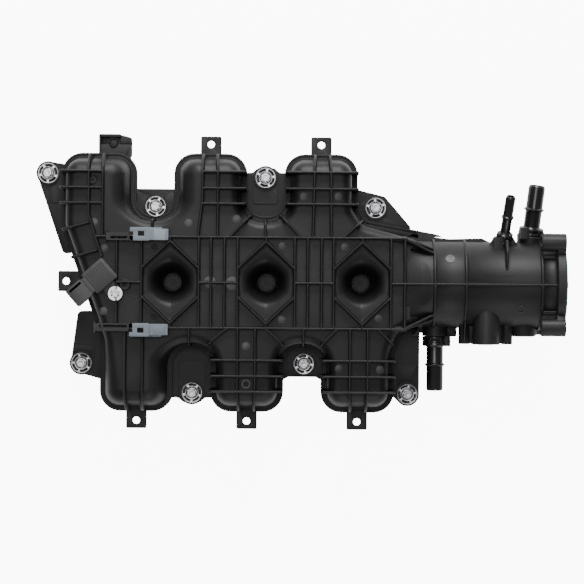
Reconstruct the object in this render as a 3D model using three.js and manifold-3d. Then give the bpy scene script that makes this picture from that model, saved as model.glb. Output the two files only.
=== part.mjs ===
// Moulded intake manifold for a V6 engine, in millimetres.
// +X runs along the engine towards the throttle, +Y across it, +Z up.
// The origin lies on the port face, under the middle of the plenum.
import * as THREE from "three";
import { ConvexGeometry } from "three/addons/geometries/ConvexGeometry.js";
import { mergeVertices } from "three/addons/utils/BufferGeometryUtils.js";
import Module from "manifold-3d";

// ---- driving dimensions ----------------------------------------------------------
const PITCH = 106;                 // bore pitch: distance between runners of one bank
const REAR_MIDDLE_X = -53.8;       // middle runner of the rear bank (+Y)
const BANK_STAGGER = 36;           // the front bank (-Y) sits this far towards the throttle
const LOBE_WIDTH = 70;             // outer width of a runner lobe over its weld flange
const LOBE_END = 123.8;            // half the width over the lobes
const LOBE_CORNER = 19.5;
const VALLEY_CORNER = 12;
const WELD_FLANGE = 5.3;           // flange that shows round the foot of the humps
const WALL = 3;
const LOBE_RIB_STEPS = [20, 35, 50];          // ribs across a lobe, from its end
// braces from a valley to the long rib: where they start and meet, from the gap's middle
const BRACES = [
  { bank: 1, gap: 2, valley: -13, rib: -33 },
  { bank: 1, gap: 2, valley: 0.3, rib: 0.3 },
  { bank: 1, gap: 2, valley: 14, rib: 34 },
  { bank: 1, gap: 3, valley: -14, rib: -32 },
  { bank: -1, gap: 1, valley: -1.2, rib: -1.2 },
  { bank: -1, gap: 1, valley: 14, rib: 35 },
  { bank: -1, gap: 2, valley: -15, rib: -35 },
  { bank: -1, gap: 2, valley: 0.8, rib: 0.8 },
  { bank: -1, gap: 2, valley: 15, rib: 33 },
  { bank: -1, gap: 3, valley: -22, rib: -35 },
];
const END_STEP = 1.6;              // how far the left lobe's flange stands out past the others

// ---- levels above the port face --------------------------------------------------
const RAIL_FLANGE = 10;            // thickness of the port flanges
const SEAM_LOW = 46;               // joint between port rails and runner shell
const SEAM_HIGH = 57;              // joint between runner shell and upper shell
const WELD_GAP = 0.3;              // gap kept at each welded joint
const FLANGE_TOP = 61;
const ROOF_ROUND = 9;              // rounding of the roof's edge
const FLOOR_PLATE = 7;             // thickness of the runner shell's plate
const PAN_BOTTOM = 10;

// ---- plenum ribs and pits --------------------------------------------------------
const RIB = 2.4;
const RIB_HEIGHT = 8;
const PIT_PITCH = 90.5;
const PIT_MIDDLE_X = 0.5;
const PIT_HALF_WIDTH = 25.8;
const PIT_SIDE = 12.8;             // half length of a pit's straight side
const PIT_LINK = 5.55;             // from a pit's apex to the long rib
const WELL_CLEARANCE = 0.6;        // round the tie post's head
const WELL_FLOOR = 49.5;
const WELL_TOP = 58;
const TIE_HEAD = { radius: 9.2, top: 54 };
const TIE_SHANK = 4;
const TIE_BOTTOM = 22;
const TIE_CLEARANCE = 0.4;
const TIE_POST_WALL = 4;
const FOOT_STEP = 3;               // how much wider the feet under the tie posts are

// ---- ports -----------------------------------------------------------------------
const PORT_Y = 92;
const PORT_LENGTH = 48;
const PORT_WIDTH = 34;
const PORT_CORNER = 12;
const SEAL_OFFSET = 1.9;           // from the port's edge to the seal
const SEAL_WIDTH = 2.2;
const SEAL_HEIGHT = 1.6;
const SEAL_CLEARANCE = 0.35;

// ---- bolts -----------------------------------------------------------------------
const SHANK = 3;                   // M6
const SHANK_CLEARANCE = 0.6;
const RETAINER = { outer: 9.8, bore: SHANK + SHANK_CLEARANCE, height: 3 };
const RETAINER_CLEARANCE = 0.8;
const BOSS_BORE = RETAINER.bore + 0.3;
const BOSS_RADIUS = BOSS_BORE + 5.1;
const LUG_RADIUS = RETAINER.outer + 1.7;
const BOLT_HEAD = { flange: SHANK + 3.5, flangeHeight: 1.6, acrossFlats: 8, height: 6 };
const BOLT_TIP = 1;
const END_GAP = 18;                // from an outer lobe's flange to the middle of the end gap
// gap: which gap between lobes; shift: from its middle; out: from the valley's bottom
const BOLTS = [
  { bank: 1, gap: 0, shift: 2.8, out: 40 },
  { bank: 1, gap: 1, shift: 0.3, out: 8.8 },
  { bank: 1, gap: 2, shift: -0.4, out: 37 },
  { bank: 1, gap: 3, shift: -0.5, out: 8.9 },
  { bank: -1, gap: 0, shift: 0.1, out: 14 },
  { bank: -1, gap: 1, shift: 0.4, out: 41.8 },
  { bank: -1, gap: 2, shift: 1.6, out: 13.4 },
  { bank: -1, gap: 3, shift: -4.8, out: 41.7 },
];

// ---- tabs ------------------------------------------------------------------------
const TAB_WIDTH = 19.7;
const TAB_REACH = 16.7;
const TAB_THICKNESS = 3;
const TAB_HOLE = 3.5;
const TAB_HOLE_REACH = 9.1;

// ---- throttle neck ---------------------------------------------------------------
const NECK_OFFSET = 22.8;          // from the last front lobe's flange to the joint
const NECK_LENGTH = 137;
const NECK_Z = 62;
const NECK_BORE = 37;
const NECK_WALL = 4;
const NECK_OUTER = NECK_BORE + NECK_WALL;
const NECK_RINGS = [13.7, 43.3, 115];
const NECK_RING_HEIGHT = 2.4;
const THROTTLE_FLANGE = { radius: NECK_OUTER + 6, thickness: 8.2 };
const THROTTLE_BOLT = { y: NECK_BORE + 3, z: NECK_BORE - 1, boss: 8.5, bossLength: 24 };
const INSERT = { outer: 4.2, bore: 2.5, length: 14, clearance: 0.3 };
const GASKET = {
  inner: NECK_BORE + 2.6, outer: NECK_BORE + 5.2, depth: 2.2, proud: 1.4, clearance: 0.3,
};
const GASKET_TAB = { width: 6, reach: 3.6 };

// ---- tube fittings ---------------------------------------------------------------
// along: from the neck's joint; out: past the neck's side; up: above its axis
const FITTINGS = [
  {
    name: "crankcase_vent_fitting", along: 16.5, out: -8.8, up: -2, way: [0, -1, 0],
    tube: 7.91, bore: 5.6, collar: 11.8, collarLength: 9.4, length: 52.2,
  },
  {
    name: "brake_booster_fitting", along: 107.4, out: 7, up: 0, way: [0.107, 0.985, 0.17],
    tube: 7.91, bore: 5.6, collar: 11.8, collarLength: 7, length: 48,
  },
  {
    name: "purge_fitting", along: 80.4, out: 2, up: 15, way: [0.1, 0.9, 0.42],
    tube: 4.745, bore: 1.9, collar: 7.4, collarLength: 7, length: 45,
  },
];
const SPIGOT_DEPTH = 6;
const FITTING_CLEARANCE = 0.3;

// ---- sensor, clips, stub ---------------------------------------------------------
const SENSOR = { inset: 40.7, y: 5.4, turn: 41.5, length: 25.5, width: 23.5, height: 14 };
const SENSOR_PLUG = { length: 25, width: 19, height: 12 };
const SENSOR_SCREW = { along: 22, radius: 2, head: 4.6, washer: 7 };
const SENSOR_NIPPLE = { radius: 4.4, length: 8, clearance: 0.3 };
const CLIP = { inset: 69, length: 36, width: 12.6, thickness: 4.2, drop: 7.5, standOff: 0.4 };
const STUB = { along: 64, reach: 16, halfWidth: 25, radius: 12.5, column: 4.8, columnX: 20.5 };
const BRACKET = { inset: 34.4, length: 31.5, reach: 18.8, bottom: 44 };

// ---- finishes --------------------------------------------------------------------
const FINISH = {
  nylon: { color: 0x18181a, roughness: 0.5, metalness: 0 },
  sensor: { color: 0x2a2a2d, roughness: 0.55, metalness: 0 },
  clip: { color: 0x6f7a84, roughness: 0.6, metalness: 0 },
  steel: { color: 0xd0d2d4, roughness: 0.25, metalness: 1 },
  brass: { color: 0xc09040, roughness: 0.35, metalness: 1 },
  rubber: { color: 0x111111, roughness: 0.8, metalness: 0 },
  gasket: { color: 0x1c7a55, roughness: 0.6, metalness: 0 },
};

// ---- geometry helpers ------------------------------------------------------------
const wasm = await Module();
wasm.setup();
const TAU = Math.PI * 2;
const FAR = 400;                   // past every piece

/** A closed three.js geometry as a solid, turned the right way out. */
function solid(geometry) {
  geometry.deleteAttribute("normal");
  geometry.deleteAttribute("uv");
  const merged = mergeVertices(geometry, 1e-4);
  const vertProperties = new Float32Array(merged.attributes.position.array);
  const triVerts = new Uint32Array(merged.index.array);
  const body = new wasm.Manifold(new wasm.Mesh({ numProp: 3, vertProperties, triVerts }));
  if (body.volume() > 0) return body;
  for (let i = 0; i < triVerts.length; i += 3) {
    [triVerts[i], triVerts[i + 1]] = [triVerts[i + 1], triVerts[i]];
  }
  return new wasm.Manifold(new wasm.Mesh({ numProp: 3, vertProperties, triVerts }));
}

/** The union of several solids. */
function join(...solids) {
  return solids.flat().reduce((whole, one) => whole.add(one));
}

/** Corners [x, y, radius] with each edge moved inwards by inset; radii follow. */
function insetCorners(corners, inset) {
  const count = corners.length;
  const edge = (i) => {
    const [x0, y0] = corners[(i + count) % count];
    const [x1, y1] = corners[(i + 1) % count];
    const size = Math.hypot(x1 - x0, y1 - y0);
    const nx = -(y1 - y0) / size;
    const ny = (x1 - x0) / size;
    return { nx, ny, c: nx * x0 + ny * y0 + inset };
  };
  return corners.map(([, , radius], i) => {
    const a = edge(i - 1);
    const b = edge(i);
    const turn = a.nx * b.ny - a.ny * b.nx;
    const x = (a.c * b.ny - b.c * a.ny) / turn;
    const y = (a.nx * b.c - b.nx * a.c) / turn;
    return [x, y, Math.max(0.5, radius - Math.sign(turn) * inset)];
  });
}

/** Points of a closed outline, anticlockwise, with each corner rounded by an arc. */
function rounded(corners, inset = 0, steps = 2) {
  const list = insetCorners(corners, inset);
  const points = [];
  list.forEach(([x, y, radius], i) => {
    const before = list[(i + list.length - 1) % list.length];
    const after = list[(i + 1) % list.length];
    const corner = new THREE.Vector2(x, y);
    const back = new THREE.Vector2(before[0] - x, before[1] - y).normalize();
    const ahead = new THREE.Vector2(after[0] - x, after[1] - y).normalize();
    const half = back.angleTo(ahead) / 2;
    const middle = back.clone().add(ahead).normalize();
    const centre = corner.clone().addScaledVector(middle, radius / Math.sin(half));
    const start = corner.clone().addScaledVector(back, radius / Math.tan(half)).sub(centre);
    const end = corner.clone().addScaledVector(ahead, radius / Math.tan(half)).sub(centre);
    let sweep = end.angle() - start.angle();
    if (sweep > Math.PI) sweep -= TAU;
    if (sweep < -Math.PI) sweep += TAU;
    for (let k = 0; k <= steps; k++) {
      const angle = start.angle() + (sweep * k) / steps;
      points.push(new THREE.Vector2(
        centre.x + radius * Math.cos(angle),
        centre.y + radius * Math.sin(angle),
      ));
    }
  });
  return points;
}

/** A flat plate with the outline's shape, from z0 up to z1. */
function plate(points, z0, z1) {
  const shape = new THREE.Shape(points);
  const geometry = new THREE.ExtrudeGeometry(shape, { depth: z1 - z0, bevelEnabled: false });
  return solid(geometry.translate(0, 0, z0));
}

/** A plate whose upper edge is rounded off in a few steps, cut level at z0. */
function dome(points, z0, z1, round, steps) {
  const drop = 2 * round;
  const geometry = new THREE.ExtrudeGeometry(new THREE.Shape(points), {
    depth: z1 - z0 - round + drop,
    bevelThickness: round,
    bevelSize: round,
    bevelOffset: -round,
    bevelSegments: steps,
  });
  return solid(geometry.translate(0, 0, z0 - drop)).subtract(block(-FAR, FAR, -FAR, FAR, -FAR, z0));
}

/** A box between two values on each axis. */
function block(x0, x1, y0, y1, z0, z1) {
  const box = new THREE.BoxGeometry(x1 - x0, y1 - y0, z1 - z0);
  return solid(box.translate((x0 + x1) / 2, (y0 + y1) / 2, (z0 + z1) / 2));
}

/** A turned piece about +Z; the profile is a closed list of [radius, z]. */
function turned(profile, segments = 12) {
  const points = profile.map(([r, z]) => new THREE.Vector2(r, z));
  points.push(points[0].clone());
  return new THREE.LatheGeometry(points, segments).rotateX(Math.PI / 2);
}

/** A round bar about a vertical line, from z0 up to z1. */
function bar(radius, z0, z1, x = 0, y = 0, segments = 12) {
  const geometry = new THREE.CylinderGeometry(radius, radius, z1 - z0, segments);
  return solid(geometry.rotateX(Math.PI / 2).translate(x, y, (z0 + z1) / 2));
}

/** A round bar that points any way, from one distance to another along it. */
function barAlong(at, way, radius, from, to, segments = 12) {
  const geometry = new THREE.CylinderGeometry(radius, radius, to - from, segments);
  geometry.translate(0, (from + to) / 2, 0);
  const turn = new THREE.Quaternion().setFromUnitVectors(
    new THREE.Vector3(0, 1, 0),
    new THREE.Vector3(...way).normalize(),
  );
  return solid(geometry.applyQuaternion(turn).translate(...at));
}

/** A geometry from a finished solid. */
function toGeometry(body) {
  const { vertProperties, triVerts, numProp } = body.getMesh();
  const geometry = new THREE.BufferGeometry();
  const positions = new Float32Array((vertProperties.length / numProp) * 3);
  for (let i = 0; i < positions.length / 3; i++) {
    for (let k = 0; k < 3; k++) positions[3 * i + k] = vertProperties[numProp * i + k];
  }
  geometry.setAttribute("position", new THREE.BufferAttribute(positions, 3));
  geometry.setIndex(new THREE.BufferAttribute(new Uint32Array(triVerts), 1));
  geometry.computeVertexNormals();
  return geometry;
}

const manifold = new THREE.Group();

/** Adds one named piece to the manifold. */
function addPiece(name, geometry, finish, position = [0, 0, 0]) {
  const mesh = new THREE.Mesh(geometry, new THREE.MeshStandardMaterial(FINISH[finish]));
  mesh.name = name;
  mesh.position.set(...position);
  manifold.add(mesh);
  return mesh;
}

// ---- places that several pieces share ---------------------------------------------
const RIB_EXCESS = 1;              // ribs start this much too tall and are cut level
const OVERRUN = 30;                // how far outlines run past the neck's joint before the cut
const lobeXs = (bank) => {
  const middle = REAR_MIDDLE_X + (bank > 0 ? 0 : BANK_STAGGER);
  return [-1, 0, 1].map((k) => middle + k * PITCH);
};
const PORTS = [1, -1].flatMap((bank) => lobeXs(bank).map((x) => ({ bank, x, y: bank * PORT_Y })));
const HALF = LOBE_WIDTH / 2;
const [REAR_1, , REAR_3] = lobeXs(1);
const [FRONT_1, , FRONT_3] = lobeXs(-1);
const LEFT_X = REAR_1 - HALF - END_STEP;
const NECK_JOIN_X = FRONT_3 + HALF + NECK_OFFSET;
const NECK_END_X = NECK_JOIN_X + NECK_LENGTH;
const MAIN_RIB_Y = NECK_OUTER + 1.75;
const VALLEY_Y = MAIN_RIB_Y + 21.25;          // the valleys' bottoms between the lobes
const ROOF = NECK_Z + NECK_OUTER - 6;
const RIB_TOP = ROOF + RIB_HEIGHT;
const PIT_XS = [-1, 0, 1].map((k) => PIT_MIDDLE_X + k * PIT_PITCH);
const PIT_APEX = MAIN_RIB_Y - PIT_LINK;
const WELL_RADIUS = TIE_HEAD.radius + WELL_CLEARANCE;
const TIE_POST_RADIUS = TIE_SHANK + TIE_POST_WALL;
const FOOT_RADIUS = TIE_POST_RADIUS + FOOT_STEP;
const SENSOR_X = LEFT_X + SENSOR.inset;
const valleyX = (bank, gap) => {
  const xs = lobeXs(bank);
  if (gap === 0) return xs[0] - HALF - END_GAP;
  return gap === 3 ? xs[2] + HALF + END_GAP : xs[0] + (gap - 0.5) * PITCH;
};
const BOLT_PLACES = BOLTS.map(({ bank, gap, shift, out }) => {
  return { bank, gap, x: valleyX(bank, gap) + shift, y: bank * (VALLEY_Y + out) };
});
const FITTING_PLACES = FITTINGS.map((one) => {
  const y = Math.sign(one.out) * NECK_OUTER + one.out;
  return { ...one, at: [NECK_JOIN_X + one.along, y, NECK_Z + one.up] };
});

/** Corners of the weld flange round all six lobes; it runs on past the neck's joint. */
function flangeCorners() {
  const endX = NECK_JOIN_X + OVERRUN;
  const corners = [];
  lobeXs(-1).forEach((x, i) => {
    corners.push([x - HALF, -LOBE_END, LOBE_CORNER], [x + HALF, -LOBE_END, LOBE_CORNER]);
    if (i < 2) {
      corners.push([x + HALF, -VALLEY_Y, VALLEY_CORNER]);
      corners.push([x + PITCH - HALF, -VALLEY_Y, VALLEY_CORNER]);
    }
  });
  corners.push([FRONT_3 + HALF, -MAIN_RIB_Y - 26, 16], [FRONT_3 + HALF + 8, -MAIN_RIB_Y - 5, 12]);
  corners.push([endX, -MAIN_RIB_Y - 3, 16], [endX, MAIN_RIB_Y + 3, 16]);
  corners.push([REAR_3 + HALF + 8, MAIN_RIB_Y + 18, 10], [REAR_3 + HALF, MAIN_RIB_Y + 30, 10]);
  [...lobeXs(1)].reverse().forEach((x, i) => {
    const left = i < 2 ? x - HALF : LEFT_X;
    corners.push([x + HALF, LOBE_END, LOBE_CORNER], [left, LOBE_END, LOBE_CORNER]);
    if (i < 2) {
      corners.push([left, VALLEY_Y, VALLEY_CORNER]);
      corners.push([x - PITCH + HALF, VALLEY_Y, VALLEY_CORNER]);
    }
  });
  corners.push([LEFT_X, 53, 20], [LEFT_X + 12.4, 19, 20]);
  corners.push([FRONT_1 - HALF - 6, -MAIN_RIB_Y + 8, 14], [FRONT_1 - HALF, -MAIN_RIB_Y - 12, 14]);
  return corners;
}

/** Corners of a rectangle with one corner radius. */
function rectangle(x, y, length, width, radius) {
  const a = length / 2;
  const b = width / 2;
  return [
    [x - a, y - b, radius],
    [x + a, y - b, radius],
    [x + a, y + b, radius],
    [x - a, y + b, radius],
  ];
}

/** Everything past the neck's joint, which the shells leave free. */
function pastJoint() {
  return block(NECK_JOIN_X - WELD_GAP, FAR, -FAR, FAR, -FAR, FAR);
}

/** The plates and lugs that carry the bolts, for one bank, as solids from z0 to z1. */
function boltPlates(bank, z0, z1) {
  const places = BOLT_PLACES.filter((one) => one.bank === bank);
  const pieces = places.map(({ x, y }) => bar(LUG_RADIUS, z0, z1, x, y));
  const root = VALLEY_Y - 6;
  places.filter(({ gap }) => gap === 1 || gap === 2).forEach(({ gap, y }) => {
    const centre = valleyX(bank, gap);
    const reach = Math.abs(y) + 6;
    const depth = reach - root;
    const outline = rectangle(centre, bank * (root + depth / 2), PITCH - LOBE_WIDTH + 8, depth, 2);
    pieces.push(plate(rounded(outline), z0, z1));
  });
  const first = places[0];
  const last = places[3];
  const inner = lobeXs(bank)[0] - HALF + 6;
  const outer = lobeXs(bank)[2] + HALF - 6;
  if (bank > 0) {
    pieces.push(plate(rounded([
      [first.x - LUG_RADIUS, first.y, 3],
      [LEFT_X + 1, 27, 4],
      [LEFT_X + 10, 27, 4],
      [inner, first.y + 8, 3],
      [first.x, first.y + LUG_RADIUS, 3],
    ]), z0, z1));
    pieces.push(plate(rounded([
      [outer, root, 3],
      [last.x + 38, root - 8, 3],
      [last.x + 9, last.y + 11, 6],
      [outer, last.y + 19, 3],
    ]), z0, z1));
  } else {
    pieces.push(plate(rounded([
      [first.x - LUG_RADIUS + 1, first.y, 3],
      [first.x, first.y - LUG_RADIUS + 1, 3],
      [inner, first.y - 17, 3],
      [inner, -28, 3],
      [first.x - 4, -28, 5],
    ]), z0, z1));
    pieces.push(plate(rounded([
      [outer, last.y, 3],
      [last.x, last.y - LUG_RADIUS + 1, 3],
      [last.x + LUG_RADIUS, last.y, 3],
      [last.x + LUG_RADIUS, -root + 3, 4],
      [outer, -root + 8, 4],
    ]), z0, z1));
  }
  return pieces;
}

/** The clearance bores of the bolts. */
function boltBores(z0, z1) {
  return BOLT_PLACES.map(({ x, y }) => bar(BOSS_BORE, z0, z1, x, y, 10));
}

/** An elongated hexagon round a pit, grown or shrunk by margin. */
function pitOutline(x, margin = 0) {
  const half = PIT_HALF_WIDTH + margin;
  const side = PIT_SIDE + margin * 0.45;
  const apex = PIT_APEX + margin * 1.35;
  return [
    [x - half, -side],
    [x, -apex],
    [x + half, -side],
    [x + half, side],
    [x, apex],
    [x - half, side],
  ].map(([px, py]) => new THREE.Vector2(px, py));
}

/** The funnel of a pit: a hexagon at the top that narrows to a round well. */
function funnel(x, margin, top, wellFloor) {
  const rim = pitOutline(x, margin).map(({ x: px, y: py }) => new THREE.Vector3(px, py, top));
  const radius = WELL_RADIUS + margin;
  for (let k = 0; k < 12; k++) {
    const angle = (TAU * k) / 12;
    rim.push(new THREE.Vector3(
      x + radius * Math.cos(angle),
      radius * Math.sin(angle),
      WELL_TOP,
    ));
  }
  return solid(new ConvexGeometry(rim)).add(bar(radius, wellFloor, WELL_TOP + 0.5, x, 0));
}

// ---- ribs ------------------------------------------------------------------------
/** A straight upright rib between two points of the plan. */
function rib([x0, y0], [x1, y1], bottom = ROOF - ROOF_ROUND) {
  const top = RIB_TOP + RIB_EXCESS;
  const length = Math.hypot(x1 - x0, y1 - y0) + RIB;
  const box = new THREE.BoxGeometry(length, RIB, top - bottom);
  box.rotateZ(Math.atan2(y1 - y0, x1 - x0));
  return solid(box.translate((x0 + x1) / 2, (y0 + y1) / 2, (bottom + top) / 2));
}

/** A rib that runs out along a lobe and drops over its end to the flange. */
function lobeRib(x, bank) {
  const shape = new THREE.Shape();
  shape.moveTo(MAIN_RIB_Y, FLANGE_TOP);
  shape.lineTo(LOBE_END - 2, FLANGE_TOP);
  shape.quadraticCurveTo(LOBE_END - 6, RIB_TOP - 6, LOBE_END - 20, RIB_TOP + RIB_EXCESS);
  shape.lineTo(MAIN_RIB_Y, RIB_TOP + RIB_EXCESS);
  const geometry = new THREE.ExtrudeGeometry(shape, {
    depth: RIB, bevelEnabled: false, curveSegments: 4,
  });
  geometry.rotateX(Math.PI / 2).rotateZ(Math.PI / 2);
  if (bank < 0) geometry.rotateZ(Math.PI);
  return solid(geometry.translate(x - (bank > 0 ? RIB / 2 : -RIB / 2), 0, 0));
}

/** All ribs of the roof and the humps. */
function roofRibs() {
  const ribs = [];
  const end = NECK_JOIN_X - WELD_GAP - RIB / 2;
  const leftEnd = REAR_1 + 7;
  const inside = MAIN_RIB_Y - RIB / 4;         // where ribs end inside a long rib
  [1, -1].forEach((side) => {
    ribs.push(rib([leftEnd, side * MAIN_RIB_Y], [end - 6, side * MAIN_RIB_Y]));
  });
  const between = PIT_XS.slice(1).map((x) => x - PIT_PITCH / 2);
  const endRibs = [LEFT_X + 56.1, end - 13.4];
  const crossRibs = [...endRibs, ...between.flatMap((x) => [x - 6.5, x + 6.3])];
  PIT_XS.forEach((x) => crossRibs.push(x - PIT_HALF_WIDTH + 0.6, x + PIT_HALF_WIDTH));
  crossRibs.forEach((x) => ribs.push(rib([x, -inside], [x, inside])));
  [endRibs[0], ...PIT_XS].forEach((x, i) => {
    const from = i ? x + PIT_HALF_WIDTH : x;
    const to = i < PIT_XS.length ? PIT_XS[i] - PIT_HALF_WIDTH : end;
    ribs.push(rib([from, 0], [to, 0]));
  });
  PIT_XS.forEach((x) => {
    const wall = pitOutline(x, RIB / 2);
    wall.forEach((point, i) => {
      const next = wall[(i + 1) % wall.length];
      ribs.push(rib([point.x, point.y], [next.x, next.y]));
    });
    ribs.push(rib([x, PIT_APEX], [x, inside]), rib([x, -inside], [x, -PIT_APEX]));
  });
  lobeXs(1).forEach((x, i) => {
    const shifts = i === 0 ? [-7.2, 5.8] : [i === 1 ? -6.2 : -6.7, i === 1 ? 8.3 : 8.8];
    shifts.forEach((shift) => ribs.push(lobeRib(x + shift, 1)));
    const from = i === 0 ? x - HALF + 9 : x - 6;
    const to = i === 0 ? x - 7 : x + HALF - 9;
    LOBE_RIB_STEPS.forEach((step) => {
      ribs.push(rib([from, LOBE_END - step], [to, LOBE_END - step]));
    });
  });
  lobeXs(-1).forEach((x, i) => {
    [-8.3, 8.3].forEach((shift) => ribs.push(lobeRib(x + shift, -1)));
    if (i === 0) return;
    LOBE_RIB_STEPS.forEach((step) => {
      ribs.push(rib([x - HALF + 9, step - LOBE_END], [x + HALF - 9, step - LOBE_END]));
    });
  });
  BRACES.forEach(({ bank, gap, valley, rib: meet }) => {
    const x = valleyX(bank, gap);
    const start = [x + valley, bank * (VALLEY_Y - 5)];
    ribs.push(rib(start, [x + meet, bank * inside], ROOF - 20));
  });
  return ribs;
}

// ---- shells ----------------------------------------------------------------------
function makeUpperShell() {
  const corners = flangeCorners();
  const flange = plate(rounded(corners), SEAM_HIGH + WELD_GAP, FLANGE_TOP);
  const hump = dome(rounded(corners, WELD_FLANGE), SEAM_HIGH + WELD_GAP, ROOF, ROOF_ROUND, 2);
  const hollow = dome(
    rounded(corners, WELD_FLANGE + WALL),
    SEAM_HIGH - WALL,
    ROOF - WALL,
    ROOF_ROUND - WALL,
    1,
  );
  let body = join(flange, hump, ...roofRibs()).subtract(hollow);
  const sensorPad = bar(12, ROOF - WALL, ROOF, SENSOR_X, SENSOR.y);
  body = join(body, sensorPad, PIT_XS.map((x) => funnel(x, WALL, ROOF, SEAM_LOW + WELD_GAP)));
  const cuts = PIT_XS.map((x) => join(
    funnel(x, 0, ROOF, WELL_FLOOR),
    plate(pitOutline(x), ROOF - 0.5, RIB_TOP + 1),
    bar(TIE_SHANK + TIE_CLEARANCE, SEAM_LOW - 1, WELL_FLOOR + 1, x, 0, 10),
  ));
  cuts.push(pastJoint(), block(-FAR, FAR, -FAR, FAR, RIB_TOP, FAR));
  BOLT_PLACES.forEach(({ x, y }) => {
    cuts.push(bar(RETAINER.outer + RETAINER_CLEARANCE, SEAM_HIGH, FLANGE_TOP + 1, x, y));
  });
  const nippleBore = SENSOR_NIPPLE.radius + SENSOR_NIPPLE.clearance;
  cuts.push(bar(nippleBore, ROOF - 2 * WALL, RIB_TOP + 1, SENSOR_X, SENSOR.y));
  cuts.push(sensorClearance());
  cuts.push(...[1, -1].map((side) => clipClearance(side)));
  return body.subtract(join(cuts));
}

function makeRunnerShell() {
  const top = SEAM_HIGH;
  const bottom = top - FLOOR_PLATE;
  const pieces = [plate(rounded(flangeCorners()), bottom, top)];
  pieces.push(...boltPlates(1, bottom, top), ...boltPlates(-1, bottom, top));
  PORTS.forEach(({ x, y }) => {
    pieces.push(plate(rounded(portCorners(x, y), -WALL), SEAM_LOW + WELD_GAP, top));
  });
  pieces.push(plate(rounded(panCorners()), SEAM_LOW + WELD_GAP, top));
  BOLT_PLACES.forEach(({ x, y }) => {
    pieces.push(bar(BOSS_RADIUS, SEAM_LOW + WELD_GAP, top, x, y));
  });
  tabPlaces().forEach(({ x, y, turn }) => {
    const reach = TAB_REACH + WELD_FLANGE;
    const box = new THREE.BoxGeometry(TAB_WIDTH, reach, TAB_THICKNESS);
    box.translate(0, TAB_REACH - reach / 2, top - TAB_THICKNESS / 2);
    pieces.push(solid(box.rotateZ(turn).translate(x, y, 0)));
  });
  const bracketX = LEFT_X + BRACKET.inset;
  pieces.push(block(
    bracketX, bracketX + BRACKET.length, LOBE_END - 8, LOBE_END + BRACKET.reach,
    BRACKET.bottom, bottom + 1,
  ));
  const cuts = PORTS.map(({ x, y }) => plate(rounded(portCorners(x, y)), 0, top + 1));
  cuts.push(plate(rounded(panCorners(), WALL + 1), 0, top + 1), ...boltBores(0, top + 1));
  cuts.push(pastJoint());
  tabPlaces().forEach(({ x, y, turn }) => {
    const hx = x - Math.sin(turn) * TAB_HOLE_REACH;
    const hy = y + Math.cos(turn) * TAB_HOLE_REACH;
    cuts.push(bar(TAB_HOLE, bottom, top + 1, hx, hy, 10));
  });
  return join(pieces).subtract(join(cuts));
}

/** Where the six side tabs and the end tab leave the flange, and the way they point. */
function tabPlaces() {
  const rear = lobeXs(1).slice(1).map((x) => ({ x, y: LOBE_END, turn: 0 }));
  const front = lobeXs(-1).map((x) => ({ x, y: -LOBE_END, turn: Math.PI }));
  return [...rear, ...front, { x: LEFT_X + 13.2, y: 0.4, turn: Math.PI / 2 }];
}

function portCorners(x, y) {
  return rectangle(x, y, PORT_LENGTH, PORT_WIDTH, PORT_CORNER);
}

/** Corners of the plenum pan, which narrows towards the left end. */
function panCorners() {
  const endX = NECK_JOIN_X - WELD_GAP;
  return [
    [FRONT_1 - HALF + 4, -MAIN_RIB_Y, 8],
    [endX, -MAIN_RIB_Y, 8],
    [endX, MAIN_RIB_Y, 8],
    [LEFT_X + 16, MAIN_RIB_Y, 8],
  ];
}

/** The port rail of one bank: flange, three runner legs and four bolt posts. */
function makePortRail(bank) {
  const inner = MAIN_RIB_Y + 14;
  const span = boltPlates(bank, 0, RAIL_FLANGE);
  const xs = lobeXs(bank);
  const middle = (xs[0] + xs[2]) / 2;
  const length = 2 * PITCH + LOBE_WIDTH - 8;
  const reach = PORT_Y - inner;
  span.push(plate(
    rounded(rectangle(middle, bank * (inner + reach / 2), length, reach, 6)), 0, RAIL_FLANGE,
  ));
  const legs = PORTS.filter((port) => port.bank === bank);
  legs.forEach(({ x, y }) => {
    span.push(plate(rounded(portCorners(x, y), -WALL - 3), 0, RAIL_FLANGE));
    span.push(plate(rounded(portCorners(x, y), -WALL), 0, SEAM_LOW));
  });
  BOLT_PLACES.filter((one) => one.bank === bank).forEach(({ x, y }) => {
    span.push(bar(BOSS_RADIUS, 0, SEAM_LOW, x, y));
  });
  const side = bank > 0 ? [-FAR, MAIN_RIB_Y + 8] : [-MAIN_RIB_Y - 8, FAR];
  const cuts = [block(-FAR, FAR, side[0], side[1], -1, FAR)];
  legs.forEach(({ x, y }) => {
    cuts.push(plate(rounded(portCorners(x, y)), -1, SEAM_LOW + 1));
    const near = SEAL_OFFSET - SEAL_CLEARANCE;
    const far = SEAL_OFFSET + SEAL_WIDTH + SEAL_CLEARANCE;
    cuts.push(ring(x, y, near, far, -1, SEAL_HEIGHT + SEAL_CLEARANCE));
  });
  cuts.push(...boltBores(-1, SEAM_LOW + 1));
  return join(span).subtract(join(cuts));
}

/** A ring round a port between two distances from its edge. */
function ring(x, y, near, far, z0, z1) {
  const outside = plate(rounded(portCorners(x, y), -far), z0, z1);
  return outside.subtract(plate(rounded(portCorners(x, y), -near), z0 - 1, z1 + 1));
}

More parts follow.
